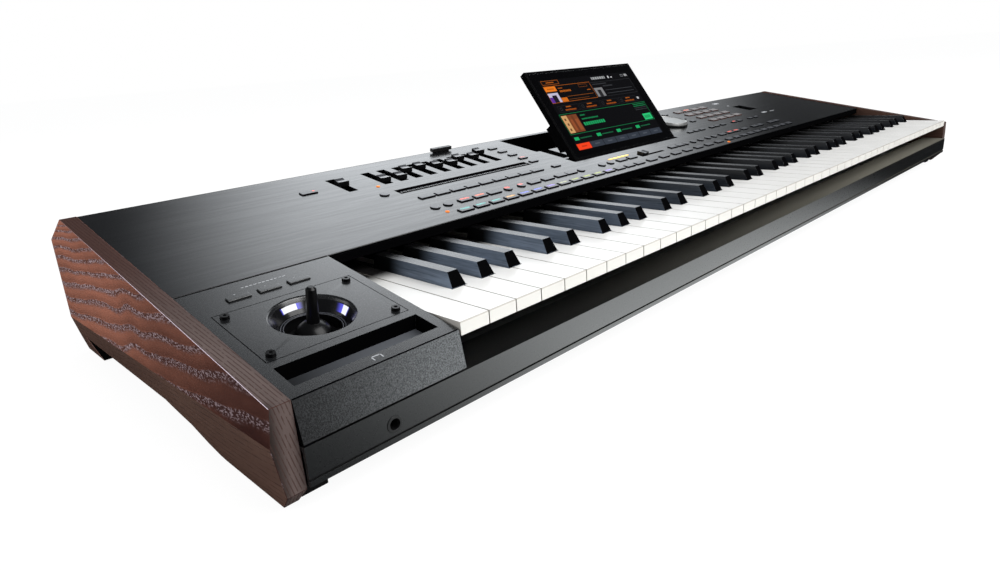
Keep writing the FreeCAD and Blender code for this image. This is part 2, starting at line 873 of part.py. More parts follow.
def joystick_stick():
    """Stick with its dome and boot, and pins in the gimbal."""
    centre = joystick_centre()
    dome = Part.makeSphere(dome_radius, centre)
    low = centre.z - dome_cut_below
    dome = dome.cut(centred_box(centre.x, centre.y, 2 * dome_radius + overrun, 2 * dome_radius + overrun,
                                low - dome_radius, low))
    boot = Part.makeSphere(boot_radius, centre)
    boot = boot.cut(centred_box(centre.x, centre.y, 2 * boot_radius + overrun, 2 * boot_radius + overrun,
                                centre.z - boot_radius - overrun, centre.z + boot_rise))
    pins = rod_along(Vector(0, 1, 0), centre, gimbal_pin_radius, 2 * gimbal_outer_radius)
    shaft = Part.makeCone(stick_radius, stick_tip_radius, stick_reach - stick_crown - centre.z, centre)
    crown = Part.makeCone(stick_tip_radius, stick_tip_radius - stick_crown, stick_crown,
                          Vector(centre.x, centre.y, stick_reach - stick_crown))
    return on_slope(joined([dome, boot, pins, shaft, crown]))


# Fasteners
def machine_screw():
    """One screw, head up, with the underside of its head at the origin."""
    head = Part.makeCylinder(screw_head_radius, screw_head_height)
    shank = Part.makeCylinder(screw_shank_radius, screw_length, Vector(0, 0, -screw_length))
    corners = [Vector(screw_socket_radius * math.cos(math.radians(a)),
                      screw_socket_radius * math.sin(math.radians(a)),
                      screw_head_height - screw_socket_depth) for a in range(0, 360, 60)]
    socket = Part.Face(Part.makePolygon(corners + corners[:1])).extrude(Vector(0, 0, screw_socket_depth))
    return joined([head, shank]).cut(socket)


def machine_screws():
    """Screws of the joystick plate and, heads down, of the case."""
    solids = []
    for x, s in plate_screw_places():
        screw = machine_screw()
        screw.translate(Vector(x, s, -plate_screw_sunk))
        solids.append(on_slope(screw))
    for x, y in case_screw_places():
        screw = machine_screw()
        screw.rotate(Vector(0, 0, 0), Vector(1, 0, 0), 180)
        screw.translate(Vector(x, y, case_bottom))
        solids.append(screw)
    return Part.makeCompound(solids)


# Top panel with its openings
def slider_places():
    """Slider name, place along X and rest distance up the slope."""
    xs = spread(across(slider_first_share), across(slider_last_share), slider_count)
    places = [("volume_slider", across(volume_share), volume_rest_share)]
    for number, (x, share) in enumerate(zip(xs, slider_rest_shares), 1):
        places.append(("part_slider_%d" % number, x, share))
    return [(name, x, slider_travel_start + share * slider_travel) for name, x, share in places]


def slider_slot(x):
    """Tool that cuts one slider's slot."""
    half = slider_stem_length / 2 + slider_slot_gap
    return box(x - slider_stem_width / 2 - slider_slot_gap, x + slider_stem_width / 2 + slider_slot_gap,
               slider_travel_start - half, slider_travel_start + slider_travel + half,
               -panel_sheet - overrun, overrun)


def crossfader_slot():
    """Tool that cuts the crossfader's slot, along X."""
    half = slider_stem_length / 2 + slider_slot_gap
    start = across(crossfader_first_share)
    side = crossfader_stem_width / 2 + slider_slot_gap
    return box(start - half, start + crossfader_travel + half, crossfader_centre - side,
               crossfader_centre + side, -panel_sheet - overrun, overrun)


def button_places():
    """Panel buttons by node: shape, place along X and distance up the slope."""
    places = {"arranger_buttons": [], "player_buttons": [], "strip_buttons": [], "style_buttons": []}
    for first, last, count in front_row_groups_shares:
        places["arranger_buttons"] += [("bar", across(share), front_row)
                                       for share in spread(first, last, count)]
    places["player_buttons"] += [("bar", across(share), second_row) for share in second_bar_shares]
    places["player_buttons"] += [("round", across(share), second_row) for share in second_round_shares]
    strip = places["strip_buttons"]
    strip += [("wide", across(share), strip_row)
              for share in spread(strip_first_share, strip_last_share, strip_count)]
    strip.append(("small", across(strip_lone_share), strip_row))
    strip += [("small", across(strip_column_share), strip_column_start + row * strip_column_pitch)
              for row in range(strip_column_count)]
    strip.append(("bar", across(standby_share), standby_centre))
    strip.append(("round", across(strip_round_share), strip_round_centre))
    style = places["style_buttons"]
    style += [("small", across(share), style_row) for share in style_row_shares]
    style += [("pad", across(grid_first_share) + column * grid_pitch, grid_start + row * grid_row_pitch)
              for column in range(grid_count) for row in range(grid_count)]
    style += [("small", across(dial_button_share), dial_centre * share)
              for share in dial_button_centres_shares]
    return places


def button_solid(shape, x, s, grow, low, high):
    """Button cap, or with some growth the tool for its hole."""
    if shape == "round":
        return upright(x, s, round_radius + grow, low, high)
    width, depth = {"bar": (bar_width, bar_depth), "wide": (wide_width, wide_depth),
                    "pad": (pad_width, pad_depth), "small": (small_width, small_depth)}[shape]
    return centred_box(x, s, width + 2 * grow, depth + 2 * grow, low, high)


def button_node(name):
    """Caps of one family of buttons, each standing just clear of the board."""
    low = board_top + button_travel + fit_gap
    return Part.makeCompound([on_slope(button_solid(shape, x, s, 0, low, button_height))
                              for shape, x, s in button_places()[name]])


def arm_places():
    """Left sides of the two arms behind the display."""
    return [display_left + arm_inset, display_right - arm_inset - arm_width]


def well_spaces(grow, low_grow):
    """Hollows under the display: hinge trough, arm pockets and rear well, as boxes in panel places."""
    middle = (display_left + display_right) / 2
    well_half = display_width / 2 + well_margin + grow
    trough_half = display_width / 2 + trough_margin + grow
    back = panel_back - well_back_wall
    top = overrun if grow == 0 else -panel_sheet
    trough = box(middle - trough_half, middle + trough_half, trough_start - grow,
                 trough_start + trough_length + grow, -trough_depth - low_grow, top)
    pocket_start = trough_start + trough_length + 2 * well_wall
    pockets = [box(x - pocket_margin - grow, x + arm_width + pocket_margin + grow, pocket_start - grow,
                   well_start + grow + overrun, -pocket_depth - low_grow, top) for x in arm_places()]
    well = box(middle - well_half, middle + well_half, well_start - grow, back + grow,
               -well_depth - low_grow, top)
    return [trough, well] + pockets


def media_space(grow, low_grow, top):
    """Hollow of the media slot, in panel places."""
    return centred_box(across(media_share), media_centre, media_width + 2 * grow, media_length + 2 * grow,
                       -media_depth - low_grow, top)


def ribbon_space(grow, low, high):
    """Bed of the touch strip, in panel places."""
    return box(across(ribbon_first_share) - grow, across(ribbon_last_share) + grow,
               ribbon_centre - ribbon_depth / 2 - grow, ribbon_centre + ribbon_depth / 2 + grow, low, high)


def top_panel():
    """Brushed sheet with every opening cut through it."""
    sheet = box(panel_left, panel_right, panel_front, panel_back, -panel_sheet, 0)
    through = -panel_sheet - overrun
    tools = [slider_slot(x) for _, x, _ in slider_places()]
    tools.append(crossfader_slot())
    for places in button_places().values():
        tools += [button_solid(shape, x, s, button_gap, through, overrun) for shape, x, s in places]
    tools += well_spaces(0, 0)
    tools.append(media_space(0, 0, overrun))
    tools.append(ribbon_space(fit_gap, through, overrun))
    tools.append(upright(across(dial_share), dial_centre, dial_shaft_radius + fit_gap, through, overrun))
    tools += [upright(across(share), clip_centre(), clip_peg_radius + running_gap, through, overrun)
              for share in clip_shares]
    return on_slope(sheet.cut(tools))


def fallboard():
    """Black strip below the panel's front edge, over the keys."""
    front = panel_front * slope_cos + block_seam
    back = front + strip_thickness
    low = sharp_height + strip_clear_of_sharps
    under = panel_sheet / slope_cos
    outline = [(front, low), (back, low), (back, slope_height(back) - under),
               (front, slope_height(front) - under)]
    return prism_x(outline, block_right + fit_gap, panel_right)


def media_tongue():
    """Connector tongue on the floor of the media slot."""
    x = across(media_share)
    back = media_centre + media_length / 2
    return box(x - media_tongue_width / 2, x + media_tongue_width / 2, back - media_tongue_length, back,
               -media_depth, media_tongue_height - media_depth)


def panel_board():
    """Board under the panel with slider tracks, dial body, spacers and the media slot."""
    low = board_top - board_thickness
    margin = bar_width
    front_low, front_high = front_row - bar_depth, trough_start - well_wall - fit_gap
    left_end = display_left - well_margin - well_wall - fit_gap
    right_start = display_right + well_margin + well_wall + fit_gap
    high = panel_back - well_back_wall
    right_end = across(media_share) + media_width
    pieces = [box(across(standby_share) - margin, right_end, front_low, front_high, low, board_top),
              box(across(standby_share) - margin, left_end, front_low, high, low, board_top),
              box(right_start, right_end, front_low, high, low, board_top)]
    for x in (across(standby_share) - margin + spacer_radius, right_end - spacer_radius):
        for s in (front_low + spacer_radius, high - spacer_radius):
            pieces.append(upright(x, s, spacer_radius, low, -panel_sheet))
    half = slider_stem_length / 2 + slider_slot_gap
    grooves = []
    groove_side = slider_stem_width / 2 + fit_gap
    top = board_top + track_height
    for _, x, _ in slider_places():
        start, end = slider_travel_start - half, slider_travel_start + slider_travel + half
        pieces.append(box(x - track_width / 2, x + track_width / 2, start - track_end, end + track_end,
                          low, top))
        grooves.append(box(x - groove_side, x + groove_side, start, end, top - slider_stem_bite - fit_gap,
                           top + overrun))
    start = across(crossfader_first_share) - half
    end = across(crossfader_first_share) + crossfader_travel + half
    pieces.append(box(start - track_end, end + track_end, crossfader_centre - track_width / 2,
                      crossfader_centre + track_width / 2, low, top))
    groove_side = crossfader_stem_width / 2 + fit_gap
    grooves.append(box(start, end, crossfader_centre - groove_side, crossfader_centre + groove_side,
                       top - slider_stem_bite - fit_gap, top + overrun))
    dial_x = across(dial_share)
    pieces.append(centred_box(dial_x, dial_centre, dial_body_width, dial_body_width, low, top))
    grooves.append(upright(dial_x, dial_centre, dial_shaft_radius + running_gap, low - overrun, top + overrun))
    pieces.append(media_space(media_wall, media_wall, -panel_sheet))
    board = joined(pieces).cut(grooves + [media_space(0, 0, 0)])
    return on_slope(joined([board, media_tongue()]))


# Sliders, strip and dial
def slider_cap(x, s, stem_width, turned):
    """Slider with a dished cap and a stem that runs in its track; turned ones run along X."""
    stem_low = board_top + track_height - slider_stem_bite
    cap_top = slider_cap_lift + slider_cap_height
    cap = box(-slider_cap_width / 2, slider_cap_width / 2, -slider_cap_length / 2, slider_cap_length / 2,
              slider_cap_lift, cap_top)
    dish = rod_along(Vector(1, 0, 0), Vector(0, 0, cap_top + slider_dish_radius - slider_dish_depth),
                     slider_dish_radius, 2 * slider_cap_width)
    stem = box(-stem_width / 2, stem_width / 2, -slider_stem_length / 2, slider_stem_length / 2,
               stem_low, slider_cap_lift)
    solid = joined([cap.cut(dish), stem])
    if turned:
        solid.rotate(Vector(0, 0, 0), Vector(0, 0, 1), 90)
    solid.translate(Vector(x, s, 0))
    return on_slope(solid)


def ribbon_strip():
    """Touch strip in its bed, carried by a web down to the board."""
    strip = ribbon_space(0, -ribbon_sunk - ribbon_thickness, -ribbon_sunk)
    web = box(across(ribbon_first_share), across(ribbon_last_share), ribbon_centre - board_thickness / 2,
              ribbon_centre + board_thickness / 2, board_top, -ribbon_sunk - ribbon_thickness)
    return on_slope(joined([strip, web]))


def value_dial():
    """Large dial with a shallow dish, on a shaft that turns in the board's dial body."""
    x = across(dial_share)
    top = dial_lift + dial_height
    disc = Part.makeCone(dial_radius, dial_top_radius, dial_height, Vector(x, dial_centre, dial_lift))
    shaft = upright(x, dial_centre, dial_shaft_radius, board_top - board_thickness, dial_lift)
    dish = upright(x, dial_centre, dial_top_radius - dial_lift, top - dial_dish_depth, top + overrun)
    return on_slope(joined([disc, shaft]).cut(dish))


# Display
def clip_centre():
    """Distance up the slope of the music rest clips."""
    return panel_back - clip_edge_gap - clip_depth / 2


def music_rest_clips():
    """Two bars on the panel's rear edge, each on a foot with a peg through the sheet."""
    solids = []
    for share in clip_shares:
        x = across(share)
        bar = centred_box(x, clip_centre(), clip_width, clip_depth, clip_lift, clip_height)
        foot = centred_box(x, clip_centre(), clip_width - clip_depth, clip_depth / 2, 0, clip_lift)
        peg = upright(x, clip_centre(), clip_peg_radius, -panel_sheet - overrun, 0)
        solids.append(on_slope(joined([bar, foot, peg])))
    return Part.makeCompound(solids)


def ear_places():
    """Middles of the two hinge ears along X."""
    return [display_left + ear_inset, display_right - ear_inset]


def display_well():
    """Tray under the display with the hinge trough and its two ears."""
    tray = joined(well_spaces(well_wall, well_wall)).cut(joined(well_spaces(0, 0)))
    pieces = [tray]
    for x in ear_places():
        pieces.append(box(x - ear_width / 2, x + ear_width / 2, pin_along - ear_radius, pin_along + ear_radius,
                          -trough_depth - well_wall, pin_lift))
        pieces.append(rod_along(Vector(1, 0, 0), Vector(x, pin_along, pin_lift), ear_radius, ear_width))
    bores = [rod_along(Vector(1, 0, 0), Vector(x, pin_along, pin_lift), display_pin_radius + running_gap,
                       2 * ear_width) for x in ear_places()]
    return on_slope(joined(pieces).cut(bores))


def display_hinge_pins():
    """Two pins that the display turns on."""
    centres = [Vector(x, pin_along, pin_lift) for x in ear_places()]
    return Part.makeCompound([
        on_slope(rod_along(Vector(1, 0, 0), centre, display_pin_radius, display_pin_length))
        for centre in centres])


def display_housing():
    """Display shell with a seat for the glass, two rear arms and notches for the hinge ears."""
    shell = box(display_left, display_right, 0, display_height, -display_thickness, 0)
    arms = [box(x, x + arm_width, arm_bottom, arm_top, -display_thickness - arm_depth,
                display_back_wall - display_thickness) for x in arm_places()]
    seat_margin = display_glass_margin - running_gap
    seat = box(display_left + seat_margin, display_right - seat_margin, seat_margin,
               display_height - seat_margin, -display_glass_thickness, overrun)
    cavity = box(display_left + display_cavity_margin, display_right - display_cavity_margin,
                 display_cavity_bottom, display_height - display_cavity_margin,
                 display_back_wall - display_thickness, 0)
    tools = [seat, cavity]
    reach = ear_radius + ear_gap
    for x in ear_places():
        tools.append(box(x - ear_width / 2 - ear_gap, x + ear_width / 2 + ear_gap, -overrun, pin_up + reach,
                         -display_thickness - overrun, reach - display_pin_depth))
        tools.append(rod_along(Vector(1, 0, 0), Vector(x, pin_up, -display_pin_depth),
                               display_pin_radius + running_gap, display_pin_length + 2 * fit_gap))
    return on_display(joined([shell] + arms).cut(tools))


def display_screen():
    """Glass front of the display."""
    return on_display(box(display_left + display_glass_margin, display_right - display_glass_margin,
                          display_glass_margin, display_height - display_glass_margin,
                          -display_glass_thickness, 0))


# Inside and rear
def main_board():
    """Main board on standoffs, with its largest chips."""
    left = across(main_board_share)
    low = case_floor + standoff_height
    back = main_board_back
    pieces = [box(left, left + main_board_width, main_board_front, back, low, low + board_thickness)]
    for x in (left, left + main_board_width - standoff_width):
        for y in (main_board_front, back - standoff_width):
            pieces.append(box(x, x + standoff_width, y, y + standoff_width, case_floor, low))
    top = low + board_thickness + chip_height
    middle = (main_board_front + back) / 2
    for x in spread(left + chip_width, left + main_board_width - chip_width, chip_count):
        pieces.append(centred_box(x, middle, chip_width, chip_width, low, top))
    return joined(pieces)


def power_supply():
    """Sheet box of the power supply, standing on the case floor."""
    left = across(supply_share)
    right = left + supply_width
    back = supply_back
    outer = box(left, right, supply_front, back, case_floor, case_floor + supply_height)
    inner = box(left + supply_wall, right - supply_wall, supply_front + supply_wall, back - supply_wall,
                case_floor + supply_wall, case_floor + supply_height - supply_wall)
    return outer.cut(inner)


def socket_places():
    """Places of the rear jack sockets along X."""
    return [across(share) for share in socket_shares]


def socket_height():
    """Height of the rear sockets."""
    return case_floor + socket_lift


def rear_sockets():
    """Rear jack sockets, each with a nut, a bush and a body, as separate solids."""
    inward = Vector(0, -1, 0)
    inner = case_back - case_wall
    solids = []
    for x in socket_places():
        mouth = Vector(x, case_back + socket_nut_thickness, socket_height())
        nut = Part.makeCylinder(jack_nut_radius, socket_nut_thickness, mouth, inward)
        bush = Part.makeCylinder(jack_bush_radius, socket_nut_thickness + case_wall + overrun, mouth, inward)
        body = box(x - jack_body_width / 2, x + jack_body_width / 2, inner - jack_body_length, inner,
                   mouth.z - jack_body_height / 2, mouth.z + jack_body_height / 2)
        bore = Part.makeCylinder(jack_bore_radius, jack_body_length + socket_nut_thickness, mouth, inward)
        solids.append(joined([nut, bush, body]).cut(bore))
    return Part.makeCompound(solids)


def inlet_left():
    """Left side of the inlet module."""
    return across(inlet_share)


def inlet_bottom():
    """Underside of the inlet module."""
    return socket_height() - inlet_height / 2


def rocker_centre():
    """Axis point of the power switch."""
    x = inlet_left() + inlet_width - rocker_right - rocker_width / 2
    return Vector(x, case_back - rocker_thickness / 2, inlet_bottom() + inlet_height / 2)


def power_inlet():
    """Inlet module: flange, three-pin mouth and the bay of the rocker switch."""
    left, bottom = inlet_left(), inlet_bottom()
    right, top = left + inlet_width, bottom + inlet_height
    body = box(left, right, case_back - inlet_depth, case_back + overrun, bottom, top)
    flange = box(left - inlet_flange, right + inlet_flange, case_back, case_back + inlet_flange_thickness,
                 bottom - inlet_flange, top + inlet_flange)
    outside = case_back + inlet_flange_thickness + overrun
    mouth_left = left + inlet_mouth_left
    middle_z = bottom + inlet_height / 2
    mouth = box(mouth_left, mouth_left + inlet_mouth_width, case_back - inlet_mouth_depth, outside,
                middle_z - inlet_mouth_height / 2, middle_z + inlet_mouth_height / 2)
    rocker = rocker_centre()
    bay = box(rocker.x - rocker_width / 2 - rocker_gap, rocker.x + rocker_width / 2 + rocker_gap,
              case_back - inlet_mouth_depth, outside, rocker.z - rocker_height / 2 - rocker_gap,
              rocker.z + rocker_height / 2 + rocker_gap)
    bores = rod_along(Vector(1, 0, 0), rocker, rocker_pin_radius + running_gap,
                      rocker_width + 2 * (rocker_gap + rocker_pin_reach + fit_gap))
    pieces = [joined([body, flange]).cut([mouth, bay, bores])]
    mouth_middle = mouth_left + inlet_mouth_width / 2
    for step in (-1, 0, 1):
        x = mouth_middle + step * inlet_pin_pitch
        pieces.append(box(x - inlet_pin_width / 2, x + inlet_pin_width / 2, case_back - inlet_depth,
                          case_back - inlet_pin_height, middle_z - inlet_pin_height / 2,
                          middle_z + inlet_pin_height / 2))
    return joined(pieces)


def power_switch():
    """Rocker with a wedge-shaped face, on two short pins, resting on its lower half."""
    centre = rocker_centre()
    half = rocker_height / 2
    rise = half * math.tan(math.radians(rocker_angle))
    face = rocker_thickness / 2
    outline = [(centre.y - face, centre.z - half + rise), (centre.y - face, centre.z + half - rise),
               (centre.y + face - rise, centre.z + half - rise), (centre.y + face, centre.z),
               (centre.y + face - rise, centre.z - half + rise)]
    rocker = prism_x(outline, centre.x - rocker_width / 2, centre.x + rocker_width / 2)
    pins = rod_along(Vector(1, 0, 0), centre, rocker_pin_radius,
                     rocker_width + 2 * (rocker_gap + rocker_pin_reach))
    solid = joined([rocker, pins])
    solid.rotate(centre, Vector(1, 0, 0), -rocker_angle)
    return solid


def all_nodes():
    """Every node of the part by name."""
    makers = (bottom_case, front_rail, rear_panel, top_panel, fallboard, control_block, joystick_plate,
              left_cheek, right_cheek, rubber_feet, machine_screws, joystick_light_ring, joystick_cup,
              joystick_gimbal, joystick_stick, assign_buttons, headphone_jack, display_housing,
              display_screen, display_well, display_hinge_pins, music_rest_clips, ribbon_strip, value_dial,
              key_frame, key_pivot_rod, contact_board, panel_board, main_board, power_supply, rear_sockets,
              power_inlet, power_switch)
    nodes = {maker.__name__: maker() for maker in makers}
    nodes.update(key_nodes())
    nodes.update({name: slider_cap(x, s, slider_stem_width, False) for name, x, s in slider_places()})
    nodes["crossfader"] = slider_cap(across(crossfader_first_share), crossfader_centre,
                                     crossfader_stem_width, True)
    nodes.update({name: button_node(name) for name in button_places()})
    return nodes


os.makedirs("parts", exist_ok=True)
for node_name, node_shape in all_nodes().items():
    node_shape.translate(frame_shift)
    node_shape.exportStep("parts/" + node_name + ".step")
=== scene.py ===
import json
import math

import bmesh
import bpy
from bpy.props import FloatProperty, FloatVectorProperty, IntProperty, PointerProperty
from bpy.types import Operator, Panel, PropertyGroup
from mathutils import Matrix, Vector

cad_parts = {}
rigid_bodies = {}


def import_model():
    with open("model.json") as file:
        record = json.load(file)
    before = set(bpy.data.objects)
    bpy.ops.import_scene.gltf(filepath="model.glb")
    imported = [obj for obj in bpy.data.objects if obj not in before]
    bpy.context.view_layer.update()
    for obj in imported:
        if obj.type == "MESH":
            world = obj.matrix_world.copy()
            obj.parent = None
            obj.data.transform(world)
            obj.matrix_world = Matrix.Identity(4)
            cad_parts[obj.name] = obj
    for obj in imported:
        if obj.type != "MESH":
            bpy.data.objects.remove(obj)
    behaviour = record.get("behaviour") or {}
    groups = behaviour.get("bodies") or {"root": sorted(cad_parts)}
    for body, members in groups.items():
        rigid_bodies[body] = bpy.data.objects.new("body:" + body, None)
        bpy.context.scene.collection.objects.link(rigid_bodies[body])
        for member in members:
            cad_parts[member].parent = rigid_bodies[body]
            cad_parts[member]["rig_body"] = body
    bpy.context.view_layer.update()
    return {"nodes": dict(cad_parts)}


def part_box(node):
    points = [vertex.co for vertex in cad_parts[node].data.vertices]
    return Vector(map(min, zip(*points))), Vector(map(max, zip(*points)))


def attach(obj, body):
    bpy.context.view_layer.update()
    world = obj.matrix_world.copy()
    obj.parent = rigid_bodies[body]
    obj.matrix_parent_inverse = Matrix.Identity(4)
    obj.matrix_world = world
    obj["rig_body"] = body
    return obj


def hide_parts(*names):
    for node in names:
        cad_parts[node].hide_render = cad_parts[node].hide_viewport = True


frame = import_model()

bl_info = {
    "name": "Arranger keyboard",
    "version": (1, 0, 0),
    "blender": (4, 5, 0),
    "location": "View3D > Sidebar > Keyboard",
    "description": "Dresses the solids of an arranger keyboard with finished pieces and materials",
    "category": "Object",
}

MM = 0.001

# Places are millimetres: x from the left edge of the lowest key, y back from the key fronts and
# z up from the white key tops. Panel places are x, s up the slope and w off the sloping top.
LOW_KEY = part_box("keys_e")
KEY_GAP = 0.9
CORNER = Vector((LOW_KEY[0].x - KEY_GAP / 2 * MM, LOW_KEY[0].y, LOW_KEY[1].z))
SLOPE = math.radians(10.09)
SLOPE_DROP = 4.15
SLOPE_TURN = (SLOPE, 0.0, 0.0)
DISPLAY_TILT = SLOPE + math.radians(42.9)
DISPLAY_START = 195.25
DISPLAY_SIZE = (205.3, 119.6)
# The screen's page is written for a display of this size.
PAGE_SIZE = (207.6, 121.0)
DISPLAY_LEFT = (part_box("display_housing")[0].x - CORNER.x) / MM
CHEEK_LEFT = (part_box("left_cheek")[0].x - CORNER.x) / MM
JOYSTICK = (-53.95, 68.3)
JOYSTICK_RINGS = (17.2, 18.7)
RING_DEPTH = -9.2
DIAL = (627.9, 247.9)

# The camera stands at the photograph's viewing angle.
CAMERA_PLACE = (-230.647, -272.831, 139.352)
CAMERA_RIGHT = (0.69982032, -0.71104138, -0.06834967)
CAMERA_DOWN = (-0.27168842, -0.17645884, -0.94606959)
CAMERA_AHEAD = (0.66063372, 0.68064855, -0.3166712)
CAMERA_LENS = 24.0928
CAMERA_SENSOR = 36.0
CAMERA_RANGE = (0.01, 100.0)

MERGE = 1e-6
FLAT = math.radians(0.6)
SHARP = math.radians(28)
SMOOTH = math.radians(40)
# A face looks along an axis where its normal has more than this share of it.
FACING = 0.7
BLACK, WHITE = (0.0, 0.0, 0.0, 1.0), (1.0, 1.0, 1.0, 1.0)


def at(x, y, z):
    """Point in the part's frame, in metres, of a place from the lowest key's corner."""
    return CORNER + Vector((x, y, z)) * MM


def on_panel(x, s, w=0.0):
    """Point of a panel place."""
    return at(x, s * math.cos(SLOPE) - w * math.sin(SLOPE),
              s * math.sin(SLOPE) + w * math.cos(SLOPE) - SLOPE_DROP)


def panel_place(point):
    """Panel place of a point."""
    x, y, z = (point - CORNER) / MM
    z += SLOPE_DROP
    return Vector((x, y * math.cos(SLOPE) + z * math.sin(SLOPE), z * math.cos(SLOPE) - y * math.sin(SLOPE)))


def linear(colour):
    """Scene-linear colour of a user's colour, or of screen values of 0 to 255."""
    if isinstance(colour, tuple):
        colour = [c / 255 for c in colour]
    parts = [c / 12.92 if c <= 0.04045 else ((c + 0.055) / 1.055) ** 2.4 for c in colour]
    return (*parts, 1.0)


# Sizes and colours that a user would change
def length(name, description, millimetres):
    """Property of a small length."""
    return FloatProperty(name=name, description=description, default=millimetres * MM, min=0.0,
                         unit="LENGTH", precision=5)


def colour(name, description, *screen):
    """Property of a colour, as seen on a screen."""
    return FloatVectorProperty(name=name, description=description, default=[c / 255 for c in screen], size=3,
                               min=0.0, max=1.0, subtype="COLOR_GAMMA")


class KeyboardSizes(PropertyGroup):
    """Small sizes of the finished pieces."""
    wood_round: length("Wood edge", "Rounding of the cheeks' edges", 0.6)
    key_round: length("Key edge", "Rounding of the white keys' edges", 0.55)
    sharp_round: length("Black key edge", "Rounding of the black keys' edges", 0.7)
    case_round: length("Case edge", "Rounding of the case's edges", 0.5)
    fine_round: length("Fine edge", "Rounding of small plates and screws", 0.2)
    plate_round: length("Plate edge", "Rounding of the joystick plate's edges", 1.0)
    button_round: length("Button edge", "Rounding of buttons and slider caps", 0.45)
    display_round: length("Display edge", "Rounding of the display's shell", 0.9)
    clip_round: length("Clip edge", "Rounding of the music rest clips", 1.6)
    round_steps: IntProperty(name="Rounding steps", description="Faces across a rounded edge", default=3, min=1)
    window_height: length("Light height", "How far a light window stands off its button", 0.06)
    tick_width: length("Tick width", "Width of the touch strip's ticks", 0.9)
    tick_count: IntProperty(name="Ticks", description="Ticks along the touch strip", default=68, min=2)
    lamp_radius: length("Lamp radius", "Radius of the small panel lamps", 2.0)


class KeyboardColours(PropertyGroup):
    """Colours of the finishes."""
    wood_warm: colour("Warm wood", "Light summer wood of the cheeks", 152, 97, 78)
    wood_deep: colour("Deep wood", "Dark wood between the rings", 54, 29, 25)
    wood_pore: colour("Wood pores", "Filled pores of the cheeks", 172, 154, 160)
    wood_edge: colour("Wood edges", "Sawn edges of the cheeks", 112, 90, 82)
    wood_line: colour("Wood lines", "Dark lines on the sawn edges", 62, 44, 40)
    panel: colour("Panel", "Black brushed metal of the top", 22, 22, 24)
    plastic: colour("Plastic", "Dark textured plastic", 40, 41, 43)
    black: colour("Black plastic", "Black plastic of small parts", 17, 17, 18)
    gloss: colour("Gloss black", "Display shell and glass", 4, 4, 5)
    white_key: colour("White keys", "White key plastic", 238, 236, 230)
    # The black keys' colour is that of their painted sheen; the keys themselves are near black.
    black_key: colour("Black keys", "Sheen of the black key plastic", 150, 166, 188)
    rail: colour("Rail", "Painted front rail", 26, 27, 28)
    rubber: colour("Rubber", "Feet", 20, 20, 20)
    steel: colour("Steel", "Pins, rod and screws", 150, 150, 152)
    dial: colour("Dial", "Top of the large dial", 168, 169, 168)
    circuit: colour("Circuit", "Boards inside", 24, 62, 40)
    lamp: colour("Lamp", "Small orange panel lamps", 250, 118, 22)


# Node trees
def maths(operation, turned=False):
    """Method of a Value that adds one Math node; a reflected form has its terms the other way round."""
    def method(self, *others):
        terms = (*others, self) if turned else (self, *others)
        return self.graph.node("ShaderNodeMath", {"operation": operation}, dict(enumerate(terms)))
    return method


class Value:
    """Socket in a Python expression: every operation on it adds one Math node."""

    def __init__(self, graph, socket):
        self.graph = graph
        self.socket = socket

    def output(self, key):
        """Another output of the same node."""
        return Value(self.graph, self.socket.node.outputs[key])

    __add__, __radd__ = maths("ADD"), maths("ADD", True)
    __sub__, __rsub__ = maths("SUBTRACT"), maths("SUBTRACT", True)
    __mul__, __rmul__ = maths("MULTIPLY"), maths("MULTIPLY", True)
    __truediv__, __rtruediv__ = maths("DIVIDE"), maths("DIVIDE", True)
    __pow__, __rpow__ = maths("POWER"), maths("POWER", True)
    fract, exp, most, least = maths("FRACT"), maths("EXPONENT"), maths("MAXIMUM"), maths("MINIMUM")
    near, angle = maths("COMPARE"), maths("ARCTAN2")

    def ease(self, low, high):
        """Smooth step from 0 at low to 1 at high."""
        return self.graph.node("ShaderNodeMapRange", {"interpolation_type": "SMOOTHSTEP"},
                               {0: self, 1: low, 2: high})

    def blend(self, *ends):
        """Mix of two colours: links, linear ones with an alpha, or ones as seen on a screen."""
        a, b = (c if isinstance(c, Value) or len(c) == 4 else linear(c) for c in ends)
        return self.graph.node("ShaderNodeMix", {"data_type": "RGBA"}, {0: self, 6: a, 7: b}, 2)


class Graph:
    """Node tree under construction."""

    def __init__(self, tree):
        self.tree = tree

    @classmethod
    def bare(cls, block):
        """Graph on the emptied node tree of a material or a world."""
        block.use_nodes = True
        block.node_tree.nodes.clear()
        return cls(block.node_tree)

    def mix(self, factor, a, b):
        """Mix of two shaders."""
        return self.node("ShaderNodeMixShader", None, {0: factor, 1: a, 2: b})

    def glow(self, kind, colour, strength):
        """Shader that shines in a colour."""
        return self.node(kind, None, {"Color": colour, "Strength": strength})

    def node(self, kind, settings=None, sockets=None, out=0):
        """Add a node, set its settings, then its sockets, and give one of its outputs."""
        made = self.tree.nodes.new(kind)
        for key, value in (settings or {}).items():
            setattr(made, key, value)
        for key, value in (sockets or {}).items():
            for each in value if isinstance(value, list) else [value]:
                if isinstance(each, Value):
                    self.tree.links.new(each.socket, made.inputs[key])
                else:
                    made.inputs[key].default_value = each
        return Value(self, made.outputs[out]) if made.outputs else None


